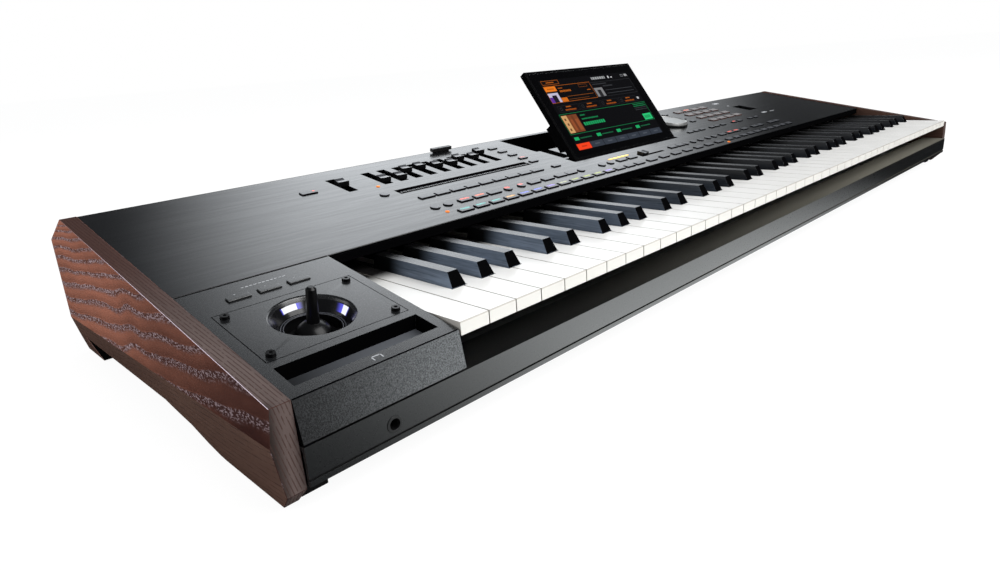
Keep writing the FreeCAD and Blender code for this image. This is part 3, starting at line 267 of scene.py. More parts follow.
class Finish(Graph):
    """Material around one Principled shader, with its constants set on the shader's own sockets."""

    def __init__(self, name, tone, constants):
        self.material = bpy.data.materials.new(name)
        self.material.use_nodes = True
        super().__init__(self.material.node_tree)
        self.tree.nodes.clear()
        bsdf = self.node("ShaderNodeBsdfPrincipled", None, {"Base Color": linear(tone), **constants})
        self.shader = bsdf.socket.node
        self.node("ShaderNodeOutputMaterial", None, {"Surface": bsdf})
        self.place = self.node("ShaderNodeTexCoord", None, None, "Object")
        self.material.diffuse_color = linear(tone)

    def feed(self, socket, value):
        self.tree.links.new(value.socket, self.shader.inputs[socket])

    def tint(self, mask, dark, light):
        """Base colour between two."""
        self.feed("Base Color", mask.blend(dark, light))

    def rough(self, mask, spread, start):
        """Roughness that follows a mask."""
        self.feed("Roughness", mask * spread + start)

    def xyz(self):
        """Coordinates in millimetres from the lowest key's corner."""
        parts = self.node("ShaderNodeSeparateXYZ", None, {0: self.place})
        return [(parts.output(i) - CORNER[i]) / MM for i in range(3)]

    def around(self, centre):
        """Way across and up the slope from a place on the panel, and lift off the sloping top."""
        x, y, z = self.xyz()
        lift = z * math.cos(SLOPE) - y * math.sin(SLOPE) + SLOPE_DROP * math.cos(SLOPE)
        return x - centre[0], y * (1 / math.cos(SLOPE)) - centre[1], lift

    def stretched(self, scale):
        """Object coordinates stretched by one scale, or by one for each axis."""
        scale = scale if isinstance(scale, tuple) else (scale, scale, scale)
        return self.node("ShaderNodeMapping", None, {"Vector": self.place, "Scale": scale})

    def noise(self, scale, detail=3.0, roughness=0.5):
        """Noise on stretched coordinates."""
        return self.node("ShaderNodeTexNoise", None, {"Vector": self.stretched(scale), "Scale": 1.0,
                                                      "Detail": detail, "Roughness": roughness})

    def bump(self, height, strength, distance):
        """Bump from a height, fed to the shader's normal."""
        self.feed("Normal", self.node("ShaderNodeBump", None, {"Height": height, "Strength": strength,
                                                               "Distance": distance}))


FINISHES = {}


def finish(name):
    """Material made earlier, by name."""
    return FINISHES[name].material


def keep(name, tone, level=0.5, constants=None):
    """Start a finish of a tone and a specular level, with other constants by socket, and keep it by name."""
    FINISHES[name] = Finish(name, tone, {"Specular IOR Level": level, **(constants or {})})
    return FINISHES[name]


def wood_finishes(colours):
    """Open-grained stained wood: the broad face with painted shade at the front, the bevelled lower face, the sawn
    edges with painted sheen and shade, and the rim's painted highlight.
    """
    face = keep("wood_face", colours.wood_warm, 0.08)
    x, y, z = face.xyz()
    warp = face.noise((14, 14, 30), 2.0) - 0.5
    ridge = ((y - 183.0) * (y - 183.0) / -220.0).exp() * (1.0 - z.ease(12, 34))
    level = z + y * 0.14 + warp * 12.0 - ridge * 4.0
    ring = ((92.0 - level).most(0.5) / 100.0) ** 0.6 * 11.0
    phase = ring.fract()
    band = phase.ease(0, 0.08) * (1.0 - phase.ease(0.22, 0.5))
    pores = face.noise((520, 420, 950), 2.0, 0.7)
    pore = band * pores.ease(0.51, 0.58)
    clouds = face.noise((18, 9, 26))
    # Painted shade: the face and its pores grow darker towards the front end and lighter towards the rear.
    rear_light = y.ease(-20, 300)
    warm = (clouds * 0.8 + rear_light * 0.9 - 0.35).most(0.0).least(1.0) * (1.0 - phase.ease(0.55, 1) * 0.3)
    ground = warm.blend(colours.wood_deep, colours.wood_warm)
    dim = (band * 0.7).blend(ground, (54, 34, 34))
    face.tint(pore * (rear_light * 0.4 + 0.36), dim, colours.wood_pore)
    face.rough(pore, 0.2, 0.5)
    face.bump(pore * -1.0 + pores * 0.2, 0.3, 0.0002)

    low = keep("wood_low", colours.wood_edge, 0.1)
    x, y, z = low.xyz()
    warp = low.noise((8, 6, 20), 2.0) - 0.5
    run = (z + y * 0.1 + x * 0.6 + warp * 14.0) / 3.4
    line = run.fract().near(0.5, 0.12) * low.noise((700, 60, 900), 2.0).ease(0.42, 0.6)
    tone = low.noise((10, 8, 40))
    ground = tone.blend((62, 44, 38), (98, 73, 62))
    low.tint(line * 0.8, ground, colours.wood_line)
    low.rough(line, 0.2, 0.6)
    low.bump(line * -1.0, 0.3, 0.0002)

    edge = keep("wood_edge", colours.wood_edge, 0.12)
    x, y, z = edge.xyz()
    warp = edge.noise((6, 5, 5), 2.0) - 0.5
    run = (x + z * 0.22 + warp * 9.0) / 2.1
    line = run.fract().near(0.5, 0.15) * edge.noise((900, 300, 300), 2.0).ease(0.34, 0.5)
    tone = edge.noise((260, 12, 12))
    # Painted sheen: the sawn edge is paler and greyer towards the front than at the rear.
    fore = tone.blend((76, 64, 61), (106, 92, 88))
    rear = tone.blend((56, 36, 31), (78, 52, 46))
    ground = y.ease(60, 220).blend(fore, rear)
    # Painted shade: the sawn edge turns dark in a stripe beside the outer front corner.
    corner = (1.0 - x.ease(CHEEK_LEFT + 1, CHEEK_LEFT + 9)) * (1.0 - y.ease(2, 9))
    ground = (corner * 0.85).blend(ground, (28, 20, 17))
    edge.tint(line * 0.75, ground, colours.wood_line)
    edge.rough(line, 0.2, 0.55)
    edge.bump(line * -1.0, 0.3, 0.0002)

    # Painted highlight: a pale line along the cheek's upper outer edge, fading to brown towards the rear.
    rim = keep("wood_rim", (214, 200, 212), 0.3)
    x, y, z = rim.xyz()
    highlight_mottle = rim.noise((300, 30, 300))
    highlight_tone = highlight_mottle.blend((190, 172, 186), (226, 214, 226))
    rim.tint(y.ease(140, 300), highlight_tone, (140, 104, 96))
    rim.rough(highlight_mottle, 0.2, 0.35)


def metal_finishes(colours):
    """Brushed panel, shelf of the rail with painted light, steel, sheet metal and the turned top of the dial."""
    panel = keep("brushed_panel", colours.panel, 0.5, {"IOR": 1.52, "Coat Roughness": 0.2})
    brush = panel.noise((5, 1100, 1100), 2.0, 0.6)
    sheen = panel.noise((12, 300, 300), 3.0, 0.65)
    panel.feed("Roughness", brush * 0.08 + sheen * 0.05 + 0.14)
    panel.tint(brush, (6, 6, 7), (26, 27, 30))
    panel.feed("Coat Weight", sheen.ease(0.32, 0.68) * 0.2)
    panel.bump(brush, 0.012, 0.00005)

    shelf = keep("rail_top", (40, 40, 37), 0.3)
    x, y, z = shelf.xyz()
    grain = shelf.noise(900)
    # Painted light: the shelf is near black at the left and grows paler towards the right.
    bright = x.ease(40, 900) * (grain * 0.3 + 0.85)
    shelf.tint(bright, (14, 14, 14), (110, 107, 97))
    shelf.rough(grain, 0.15, 0.4)

    steel = keep("steel", colours.steel, 0.5, {"Metallic": 1.0})
    drawn = steel.noise((60, 900, 900))
    steel.rough(drawn, 0.2, 0.22)
    steel.tint(drawn, (128, 128, 130), (176, 176, 178))

    supply = keep("supply", (150, 152, 154), 0.5, {"Metallic": 1.0})
    spangle = supply.node("ShaderNodeTexVoronoi", None, {"Vector": supply.stretched(120), "Scale": 1.0})
    supply.rough(spangle, 0.2, 0.3)

    dial = keep("dial", colours.dial)
    across, along, lift = dial.around(DIAL)
    spread = (along * along + across * across) ** 0.5
    top = lift.ease(2.6, 3)
    turned = dial.node("ShaderNodeTexNoise", {"noise_dimensions": "1D"},
                       {"W": spread, "Scale": 5.0, "Detail": 2.0})
    silver = turned.blend((150, 151, 150), (190, 191, 190))
    dial.tint(top, colours.black, silver)
    dial.feed("Metallic", top * 0.7)
    dial.rough(turned, 0.12, 0.28)


def grained_finishes(colours):
    """Finishes of one even grain between two colours, with a roughness that follows it or is a plain number."""
    black = colours.black
    for name, tone, level, scale, detail, dark, light, rough, bump in (
            ("rail", colours.rail, 0.5, 900, 3.0, (26, 27, 28), (32, 33, 34), (0.04, 0.26), (0.006, 0.0001)),
            ("screw", (8, 8, 9), 0.25, 1500, 3.0, (3, 3, 4), (12, 12, 13), (0.12, 0.1), None),
            ("black_plastic", black, 0.5, 1400, 2.0, (11, 11, 12), (24, 24, 25), (0.15, 0.3), (0.06, 0.0001)),
            ("stick", black, 0.3, 1400, 2.0, (4, 4, 5), (15, 15, 16), (0.12, 0.24), None),
            # Painted reflection: grey tops for the black slider caps.
            ("cap_top", black, 0.6, 1200, 2.0, (52, 53, 56), (76, 78, 82), (0.1, 0.16), None),
            # Painted reflection: grey tops for buttons of black plastic.
            ("button", black, 0.5, 1600, 2.0, (58, 59, 63), (80, 82, 88), (0.12, 0.22), None),
            # Painted shade: the sides of the white keys, facing into the gaps between them, are grey.
            ("key_side", (150, 146, 140), 0.2, 30, 3.0, (166, 162, 156), (186, 182, 176), 0.5, None),
            # Painted shade: the front ends of the black keys are near black.
            ("black_key_end", (10, 10, 11), 0.0, 900, 3.0, (4, 4, 5), (10, 10, 11), (0.2, 0.3), None),
            ("felt", (9, 9, 10), 0.1, 1500, 3.0, (5, 5, 6), (14, 14, 15), 0.9, None),
            ("pad", (128, 124, 124), 0.4, 1600, 2.0, (112, 108, 108), (142, 138, 138), (0.15, 0.32), None),
            ("pad_side", (92, 64, 58), 0.2, 1200, 2.0, (76, 52, 48), (108, 76, 68), 0.5, None),
            ("strip", (6, 6, 7), 0.0, 1400, 2.0, (3, 3, 4), (9, 9, 10), (0.2, 0.6), None),
            ("rubber", colours.rubber, 0.3, 1100, 3.0, (12, 12, 12), (30, 30, 30), 0.85, (0.3, 0.0002)),
            ("print_ink", (170, 172, 176), 0.5, 900, 2.0, (140, 142, 146), (196, 198, 202), 0.5, None)):
        follows = isinstance(rough, tuple)
        made = keep(name, tone, level, None if follows else {"Roughness": rough})
        grain = made.noise(scale, detail)
        made.tint(grain, dark, light)
        if follows:
            made.rough(grain, *rough)
        if bump:
            made.bump(grain, *bump)


def plastic_finishes(colours):
    """Moulded plastics of the case, the display shell and the boards inside."""
    case = keep("dark_plastic", colours.plastic, 0.5)
    grain = case.noise(1700, 2.0, 0.6)
    cloud = case.noise(60)
    case.tint(grain * 0.7 + cloud * 0.3, (10, 11, 12), (36, 37, 39))
    case.rough(grain, 0.2, 0.22)
    case.bump(grain, 0.2, 0.0002)

    front = keep("block_front", colours.plastic, 0.3)
    x, y, z = front.xyz()
    grain = front.noise(1200, 2.0, 0.7).ease(0.3, 0.72)
    # Painted light: the block's front is darkest at its left end and paler towards the right.
    side = x.ease(-112, 6)
    dark = side.blend((6, 6, 7), (56, 58, 60))
    light = side.blend((44, 45, 47), (118, 121, 123))
    front.tint(grain, dark, light)
    front.rough(grain, 0.2, 0.35)
    front.bump(grain, 0.35, 0.0003)

    tray = keep("tray_floor", colours.plastic, 0.3)
    x, y, z = tray.xyz()
    # Painted light and shade: the tray floor is pale grey at the right and darkens towards its left end.
    tray.tint(x.ease(-112, -30), (24, 25, 26), (94, 97, 102))
    tray.rough(tray.noise(1200, 2.0), 0.1, 0.3)

    top = keep("block_top", colours.plastic, 1.0)
    grain = top.noise(1700, 2.0, 0.6)
    top.tint(grain, (12, 13, 14), (30, 31, 33))
    top.rough(grain, 0.12, 0.2)
    top.bump(grain, 0.05, 0.0002)

    gloss = keep("gloss_black", colours.gloss, 0.08)
    gloss.rough(gloss.noise(90), 0.1, 0.16)

    board = keep("circuit", colours.circuit, 0.5, {"Roughness": 0.4})
    board.feed("Base Color", board.node("ShaderNodeTexBrick", {"offset": 0.37}, {
        "Vector": board.stretched(160), "Color1": linear((20, 58, 36)), "Color2": linear((26, 74, 46)),
        "Mortar": linear((140, 120, 70)), "Mortar Size": 0.03}))


def key_finishes(colours):
    """White keys with painted shade on the fronts, towards the rear and under the panel, and black keys with a
    painted sheen strongest at the left.
    """
    white = keep("white_key", colours.white_key, 0.14, {"Coat Weight": 0.04, "Coat Roughness": 0.08})
    x, y, z = white.xyz()
    front = 1.0 - y.ease(0.1, 0.7)
    lip = front * z.ease(-1.2, -0.3)
    cloud = white.noise(30)
    tops = cloud.blend((240, 239, 236), (246, 245, 243))
    # Painted shade: the fronts are a little darker than the tops.
    shaded_fronts = cloud.blend((224, 222, 216), (232, 230, 224))
    tone = (lip * 0.5).blend(front.blend(tops, shaded_fronts), (150, 140, 125))
    # Painted shade: the tops grey towards the rear and turn near black under the panel.
    shaded = (y.ease(46, 112) * 0.16).blend(tone, (120, 114, 104))
    white.tint(y.ease(98, 124), shaded, (26, 25, 25))
    white.rough(cloud, 0.1, 0.2)

    deep = (9, 9, 10)
    crest = keep("black_key_top", colours.black_key, 0.5)
    streak = crest.noise((700, 40, 700), 3.0, 0.6)
    x, y, z = crest.xyz()
    # Painted sheen: the tops are pale and streaked, strongest at the front left, gone towards the rear and fading to
    # the right.
    sheen = (streak * 0.3 + 0.65) * (1.0 - y.ease(98, 122)) * (1.0 - x.ease(60, 700) * 0.8)
    crest.tint(sheen, deep, (46, 50, 58))
    crest.rough(streak, 0.15, 0.2)

    flank = keep("black_key", colours.black_key, 0.12)
    streak = flank.noise((900, 45, 900), 4.0, 0.6)
    wash = flank.noise((60, 14, 60))
    x, y, z = flank.xyz()
    # Painted sheen: the flanks are pale blue-grey with streaks, strongest low down and at the left, fading towards
    # the rear and the right.
    fade = (1.0 - y.ease(92, 120)) * (1.0 - z.ease(-1, 9) * 0.35) * (1.0 - x.ease(100, 480) * 0.95)
    sheen = (streak * 0.7 + wash * 0.6 - 0.15) * fade
    flank.tint(sheen, deep, colours.black_key)
    flank.rough(streak, 0.2, 0.2)
    flank.bump(streak, 0.06, 0.0001)

    # Painted highlight: a pale line along the black keys' rounded top edges, brighter towards the right and gone
    # towards the rear.
    rim = keep("black_key_rim", (120, 124, 130), 0.5)
    x, y, z = rim.xyz()
    glint_mottle = rim.noise((300, 60, 300))
    lit = (glint_mottle * 0.4 + 0.5) * (1.0 - y.ease(92, 120)) * (x.ease(80, 620) * 0.7 + 0.3)
    rim.tint(lit, deep, (170, 174, 180))
    rim.rough(glint_mottle, 0.2, 0.2)


def light_finishes(colours):
    """Joystick light ring, lit windows and small lamps."""
    ring = keep("light_ring", (12, 12, 14), 0.5, {"Roughness": 0.2, "Emission Strength": 1.0})
    across, along, lift = ring.around(JOYSTICK)
    turn = along.angle(across) / math.pi
    left = turn.ease(0.41, 0.47) * (1.0 - turn.ease(0.61, 0.63)) * lift.near(-4.85, 1.55)
    right = turn.ease(-0.03, -0.01) * (1.0 - turn.ease(0.06, 0.13)) * lift.near(-5.2, 2.2)
    core = turn.near(0.54, 0.07).most(turn.near(0.02, 0.034))
    haze = left.most(right).most(turn.near(-0.86, 0.03) * lift.near(-5, 1.5))
    glow = core.blend((84, 84, 226), (248, 250, 255))
    ring.feed("Emission Color", haze.blend(BLACK, glow))

    lit = keep("lit_window", (120, 120, 120), 0.3, {"Roughness": 0.3, "Emission Strength": 0.3})
    tint = lit.node("ShaderNodeAttribute", {"attribute_name": "tint"}, None, "Color")
    soft = lit.noise(700, 2.0).ease(0.35, 0.75)
    lit.tint(soft, tint, (120, 122, 126))
    lit.feed("Emission Color", tint)

    bar = keep("lit_bar", (255, 205, 80), 0.5, {"Roughness": 0.3, "Emission Strength": 1.0})
    x, y, z = bar.xyz()
    ends = x.ease(386, 392) * (1.0 - x.ease(420, 426))
    bar.feed("Emission Color", ends.blend((236, 150, 40), (255, 216, 96)))

    lamp = keep("lamp", (110, 40, 6), 0.1, {"Roughness": 0.3, "Emission Strength": 1.0})
    glow = lamp.noise(500, 2.0).ease(0.3, 0.7)
    lamp.feed("Emission Color", glow.blend(colours.lamp, (255, 192, 110)))


def screen_finish(colours):
    """Glass with a plain lit page of panels, bars and tabs under it."""
    glass = keep("glass", colours.gloss, 0.07, {"Roughness": 0.06, "Emission Strength": 1.0})
    x, y, z = glass.xyz()
    across = (x - DISPLAY_LEFT) * (PAGE_SIZE[0] / DISPLAY_SIZE[0])
    base_y = DISPLAY_START * math.cos(SLOPE)
    base_z = DISPLAY_START * math.sin(SLOPE) - SLOPE_DROP
    up = (y - base_y) * math.cos(DISPLAY_TILT) + (z - base_z) * math.sin(DISPLAY_TILT)
    up = up * (PAGE_SIZE[1] / DISPLAY_SIZE[1])

    def block(x0, x1, u0, u1):
        return across.near((x0 + x1) / 2, (x1 - x0) / 2) * up.near((u0 + u1) / 2, (u1 - u0) / 2)

    def outline(x0, x1, u0, u1, wall=0.5):
        return (block(x0, x1, u0, u1) - block(x0 + wall, x1 - wall, u0 + wall, u1 - wall)) * 0.55

    def words(x0, x1, u0, u1, pitch):
        dash = (across / pitch).fract().near(0.42, 0.36)
        return block(x0, x1, u0, u1) * dash * 0.6

    orange, rust, green, bright = (232, 122, 30), (206, 100, 26), (30, 170, 100), (38, 206, 122)
    grey, slate, pale, brown = (70, 72, 76), (52, 58, 68), (206, 208, 210), (88, 50, 30)
    page = [
        (block(15, 190.6, 11.5, 108), (9, 9, 11)),
        (outline(18.5, 48.5, 101.2, 107), orange), (words(26, 40, 103.4, 104.9, 1.8), orange),
        (outline(17.5, 103.5, 75.8, 99.4), orange),
        (block(17.5, 37.5, 91.8, 98.6), orange), (words(22, 34, 94.4, 96.2, 2), (60, 30, 10)),
        (block(18, 36, 76.4, 89.6), (196, 190, 214)),
        (block(18, 24, 76.4, 84), (92, 48, 150)), (block(23.5, 31.5, 76.4, 86.4), (28, 24, 34)),
        (words(41, 62, 89.6, 92.2, 2.6), orange), (words(41, 49, 94.6, 95.8, 1.6), orange),
        (block(36.6, 47.6, 76.4, 82), (206, 106, 26)),
        (block(50, 100, 82.6, 83.1), (150, 82, 26)), (block(50, 88, 78.4, 78.9), (120, 68, 24)),
        (outline(80, 96, 93.4, 97.4, 0.4), (170, 92, 28)), (words(92, 99, 88, 89.4, 1.5), orange),
        (outline(104.6, 189.6, 75.8, 97.8, 0.35), grey), (block(105.4, 122, 76.6, 89.4), (128, 128, 130)),
        (block(110, 117, 76.6, 86.4), (40, 40, 42)), (words(107, 136, 94, 95.6, 2), grey),
        (words(126, 146, 90, 92, 2.2), grey), (block(126, 184, 84.4, 84.9), grey),
        (block(126, 184, 79.6, 80.1), grey),
        (words(112, 140, 101.6, 105.2, 4.6), pale), (block(146, 148.6, 101.6, 105), pale),
        (block(152, 155, 101.8, 103.4), pale), (outline(174, 180, 101.8, 105, 0.7), (160, 162, 166)),
        (words(182, 188.6, 101.8, 105.2, 2.4), (220, 222, 224)),
    ]
    for left in (21, 61, 101, 141):
        page += [(outline(left, left + 37.5, 62.6, 71.4, 0.35), (54, 56, 60)),
                 (words(left + 15, left + 24, 68.6, 70.2, 2.1), orange),
                 (words(left + 11, left + 31, 64.2, 66.2, 1.7), rust),
                 (outline(left + 3, left + 7, 65, 69, 0.5), grey)]
    page += [
        (block(180, 184, 65.6, 68.8), (190, 192, 194)),
        (outline(15.8, 190, 32.4, 60.4), green), (block(17.6, 45.2, 34.4, 58.2), (122, 66, 38)),
        (block(17.6, 27, 34.4, 58.2), (206, 158, 104)), (block(30, 44, 37, 52), (146, 78, 44)),
        (block(20.6, 23.2, 37.4, 40.6), brown), (block(21.4, 24, 44.6, 47.6), brown),
        (block(20.6, 23.2, 51.4, 54.4), brown), (block(34, 38, 35.4, 57), (106, 56, 34)),
        (words(49.5, 90, 41.2, 45.6, 4.1), bright), (words(50.5, 82, 49.4, 51.2, 2), green),
        (words(51, 60, 54.6, 56.4, 2.2), green),
        (block(169.6, 187.6, 33.8, 42.8), (42, 196, 118)),
        (words(172, 185, 36, 40.4, 3.3), (10, 60, 36)),
    ]
    for row in range(4):
        page.append((words(162, 188, 57.4 - row * 2.7, 58.6 - row * 2.7, 1.9), green if row < 2 else grey))
    for left in (18, 60, 100, 141):
        page += [(block(left, left + 8, 24.4, 28.6), green),
                 (words(left + 10.5, left + 32, 25.6, 27.2, 1.9), (34, 130, 84))]
    for number in range(7):
        left = 15.2 + number * 24.8
        tab, ink = ((244, 66, 30), (90, 22, 12)) if number == 0 else (slate, (96, 102, 112))
        page += [(block(left, left + 24, 11.8, 19.8), tab), (words(left + 8, left + 17, 15, 16.8, 1.9), ink)]
    tone = BLACK
    for mask, paint in page:
        tone = mask.blend(tone, paint)
    glass.feed("Emission Color", tone)


# Meshes
def body_of(node):
    """Body that a CAD node rides on."""
    return frame["nodes"][node]["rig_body"]


def merged(node):
    """Copy of a CAD node's mesh with its doubles merged and its flat faces joined."""
    shape = bmesh.new()
    shape.from_mesh(frame["nodes"][node].data)
    bmesh.ops.remove_doubles(shape, verts=shape.verts, dist=MERGE)
    bmesh.ops.dissolve_limit(shape, angle_limit=FLAT, verts=shape.verts, edges=shape.edges)
    return shape


def placed(name, mesh, materials, body):
    """Object at the origin that rides on a body and takes its finish from a slot."""
    piece = bpy.data.objects.new(name, mesh)
    bpy.context.scene.collection.objects.link(piece)
    for material in materials:
        mesh.materials.append(material)
    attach(piece, body)
    return piece


def baked(piece):
    """Turn a piece's modifiers into its plain mesh."""
    bpy.context.view_layer.update()
    made = bpy.data.meshes.new_from_object(piece.evaluated_get(bpy.context.evaluated_depsgraph_get()))
    old = piece.data
    piece.modifiers.clear()
    piece.data = made
    made.name = piece.name
    bpy.data.meshes.remove(old)
    return piece


def even_normals(piece):
    """Smooth shading that leaves broad faces flat."""
    for polygon in piece.data.polygons:
        polygon.use_smooth = True
    piece.data.set_sharp_from_angle(angle=SMOOTH)
    modifier = piece.modifiers.new("normals", "WEIGHTED_NORMAL")
    modifier.keep_sharp = True
    return baked(piece)


def finished(node, materials, rounding, pick=None, paint=None, rim=None):
    """Copy of a CAD node, rounded by a named size, that stands for the node; rim edges take the last material."""
    sizes = bpy.context.scene.keyboard_sizes
    radius = getattr(sizes, rounding)
    shape = merged(node)
    if paint:
        for face in shape.faces:
            face.material_index = paint(face)
    edges = [e for e in shape.edges if len(e.link_faces) == 2 and e.calc_face_angle(0.0) > SHARP]
    if pick:
        edges = [e for e in edges if pick(e)]
    if radius > 0.0 and edges:
        made = bmesh.ops.bevel(shape, geom=edges, offset=radius, segments=sizes.round_steps, profile=0.5,
                               affect="EDGES", clamp_overlap=True)
        for face in filter(rim, made["faces"]) if rim else ():
            face.material_index = len(materials) - 1
    mesh = bpy.data.meshes.new(node + "_finished")
    shape.to_mesh(mesh)
    shape.free()
    piece = placed(node + "_finished", mesh, [finish(m) for m in materials], body_of(node))
    even_normals(piece)
    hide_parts(node)
    return piece


def finished_plain(*rows):
    """Finish nodes of one material each, from rows of node, slot, material and rounding."""
    for node, slot, material, rounding in rows:
        finished(node, (material,), rounding)


def unmirrored(piece):
    """Leave a piece out of the reflections, which are soft on a brushed top."""
    piece.visible_glossy = False


def painted(node, material):
    """Give a CAD node that stays a finished material."""
    mesh = frame["nodes"][node].data
    mesh.materials.clear()
    mesh.materials.append(finish(material))


def islands(node):
    """Panel-place boxes of a node's separate solids, as (lowest, highest), left to right."""
    shape = merged(node)
    shape.verts.ensure_lookup_table()
    left, boxes = set(shape.verts), []
    while left:
        stack, seen = [left.pop()], []
        while stack:
            vert = stack.pop()
            seen.append(panel_place(vert.co))
            for edge in vert.link_edges:
                other = edge.other_vert(vert)
                if other in left:
                    left.remove(other)
                    stack.append(other)
        boxes.append((Vector(map(min, zip(*seen))), Vector(map(max, zip(*seen)))))
    shape.free()
    return sorted(boxes, key=lambda b: b[0].x)


# Geometry node trees
class Pattern(Graph):
    """Geometry node tree with named inputs that puts a piece on points."""

    def __init__(self, name, **inputs):
        super().__init__(bpy.data.node_groups.new(name, "GeometryNodeTree"))
        face = self.tree.interface
        for label, kind in {"Geometry": "Geometry", **inputs, "Turn": "Vector", "Material": "Material"}.items():
            face.new_socket(label, in_out="INPUT", socket_type="NodeSocket" + kind)
        face.new_socket("Geometry", in_out="OUTPUT", socket_type="NodeSocketGeometry")
        self.entry = self.node("NodeGroupInput")

    def given(self, label):
        return self.entry.output(label)

    def close(self, piece, points=None, scale=(1.0, 1.0, 1.0)):
        """Put the piece on the points, by default those of the mesh, then realize and paint it."""
        spread = self.node("GeometryNodeInstanceOnPoints", None,
                           {"Points": points or self.given("Geometry"), "Instance": piece,
                            "Rotation": self.given("Turn"), "Scale": scale})
        real = self.node("GeometryNodeRealizeInstances", None, {0: spread})
        paint = self.node("GeometryNodeSetMaterial", None, {"Geometry": real, "Material": self.given("Material")})
        self.node("NodeGroupOutput", None, {0: paint})
        return self

    def identifiers(self):
        return {i.name: i.identifier for i in self.tree.interface.items_tree if i.in_out == "INPUT"}


PATTERNS = {}


def plate_pattern():
    """Rounded plates of a size of their own on points, turned to the sloping top."""
    tree = Pattern("panel_plates", Corner="Float")
    edge = tree.node("GeometryNodeCurvePrimitiveQuadrilateral", None, {"Width": 1.0, "Height": 1.0})
    soft = tree.node("GeometryNodeFilletCurve", {"mode": "POLY"},
                     {"Curve": edge, "Count": 3, "Radius": tree.given("Corner"), "Limit Radius": True})
    flat = tree.node("GeometryNodeFillCurve", {"mode": "NGONS"}, {"Curve": soft})
    raised = tree.node("GeometryNodeExtrudeMesh", {"mode": "FACES"},
                       {"Mesh": flat, "Offset": (0.0, 0.0, 1.0), "Offset Scale": 1.0, "Individual": False})
    under = tree.node("GeometryNodeFlipFaces", None, {"Mesh": flat})
    both = tree.node("GeometryNodeJoinGeometry", None, {0: [raised, under]})
    closed = tree.node("GeometryNodeMergeByDistance", None, {"Geometry": both})
    size = tree.node("GeometryNodeInputNamedAttribute", {"data_type": "FLOAT_VECTOR"}, {"Name": "size"})
    return tree.close(closed, scale=size)


def tick_pattern():
    """Row of like ticks from one end point to another."""
    tree = Pattern("tick_row", Count="Int", Start="Vector", End="Vector", Size="Vector")
    line = tree.node("GeometryNodeMeshLine", {"mode": "END_POINTS"},
                     {"Count": tree.given("Count"), "Start Location": tree.given("Start"),
                      "Offset": tree.given("End")})
    return tree.close(tree.node("GeometryNodeMeshCube", None, {"Size": tree.given("Size")}), line)


def lamp_pattern():
    """Small domed lamps on points."""
    tree = Pattern("panel_lamps", Radius="Float")
    dome = tree.node("GeometryNodeMeshUVSphere", None, {"Segments": 16, "Rings": 8, "Radius": tree.given("Radius")})
    return tree.close(dome, scale=(1.0, 1.0, 0.45))


def ring_pattern():
    """Turned rings on points, each swept from a small round section."""
    tree = Pattern("turned_rings", Radius="Float", Section="Float")
    path, section = (tree.node("GeometryNodeCurvePrimitiveCircle", None,
                               {"Resolution": count, "Radius": tree.given(label)})
                     for count, label in ((28, "Radius"), (8, "Section")))
    return tree.close(tree.node("GeometryNodeCurveToMesh", None, {"Curve": path, "Profile Curve": section}))


def point_mesh(name, points, sizes=None, tints=None):
    """Loose points with a size and a tint for each."""
    mesh = bpy.data.meshes.new(name)
    mesh.from_pydata([tuple(p) for p in points], [], [])
    if sizes:
        layer = mesh.attributes.new("size", "FLOAT_VECTOR", "POINT")
        layer.data.foreach_set("vector", [v * MM for size in sizes for v in size])
    if tints:
        layer = mesh.attributes.new("tint", "FLOAT_COLOR", "POINT")
        layer.data.foreach_set("color", [c for tint in tints for c in linear(tint)])
    return mesh


def patterned(name, mesh, pattern, values, material, body):
    """Piece made by a geometry node tree, as a plain mesh on a body."""
    if pattern not in PATTERNS:
        PATTERNS[pattern] = pattern()
    tree = PATTERNS[pattern]
    piece = bpy.data.objects.new(name, mesh)
    bpy.context.scene.collection.objects.link(piece)
    modifier = piece.modifiers.new(tree.tree.name, "NODES")
    modifier.node_group = tree.tree
    names = tree.identifiers()
    for label, value in {**values, "Turn": SLOPE_TURN, "Material": finish(material)}.items():
        modifier[names[label]] = value
    baked(piece)
    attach(piece, body)
    return piece


def plates(name, rows, material, body, corner=0.2):
    """Plates on the sloping top, from rows of panel place, size and tint."""
    mesh = point_mesh(name, [on_panel(*row[0]) for row in rows], [row[1] for row in rows], [row[2] for row in rows])
    return patterned(name, mesh, plate_pattern, {"Corner": corner}, material, body)


# Operators
class KEYBOARD_OT_finishes(Operator):
    """Make every material of the keyboard"""
    bl_idname = "keyboard.finishes"
    bl_label = "Finishes"

    def execute(self, context):
        colours = context.scene.keyboard_colours
        wood_finishes(colours)
        metal_finishes(colours)
        grained_finishes(colours)
        plastic_finishes(colours)
        key_finishes(colours)
        light_finishes(colours)
        screen_finish(colours)
        return {"FINISHED"}


class KEYBOARD_OT_cheeks(Operator):
    """Dress the two wooden end cheeks"""
    bl_idname = "keyboard.cheeks"
    bl_label = "Cheeks"

    def execute(self, context):
        materials = ("wood_face", "wood_low", "wood_edge", "felt", "wood_rim")
        for node, side in (("left_cheek", -1), ("right_cheek", 1)):
            def paint(face, side=side):
                if face.normal.x * side > FACING:
                    return 0 if face.normal.z > 0.0 else 1
                depth = (face.calc_center_median().y - CORNER.y) / MM
                if depth > 40.0 and (face.normal.z < -0.3 or face.normal.y < -0.3):
                    return 3
                return 2 if abs(face.normal.x) < FACING else 1

            # The rounded faces along the upper outer edge take the painted highlight.
            def rim(face, side=side):
                return face.normal.x * side > 0.25 and face.normal.z > 0.25

            finished(node, materials, "wood_round", paint=paint, rim=rim)
        return {"FINISHED"}


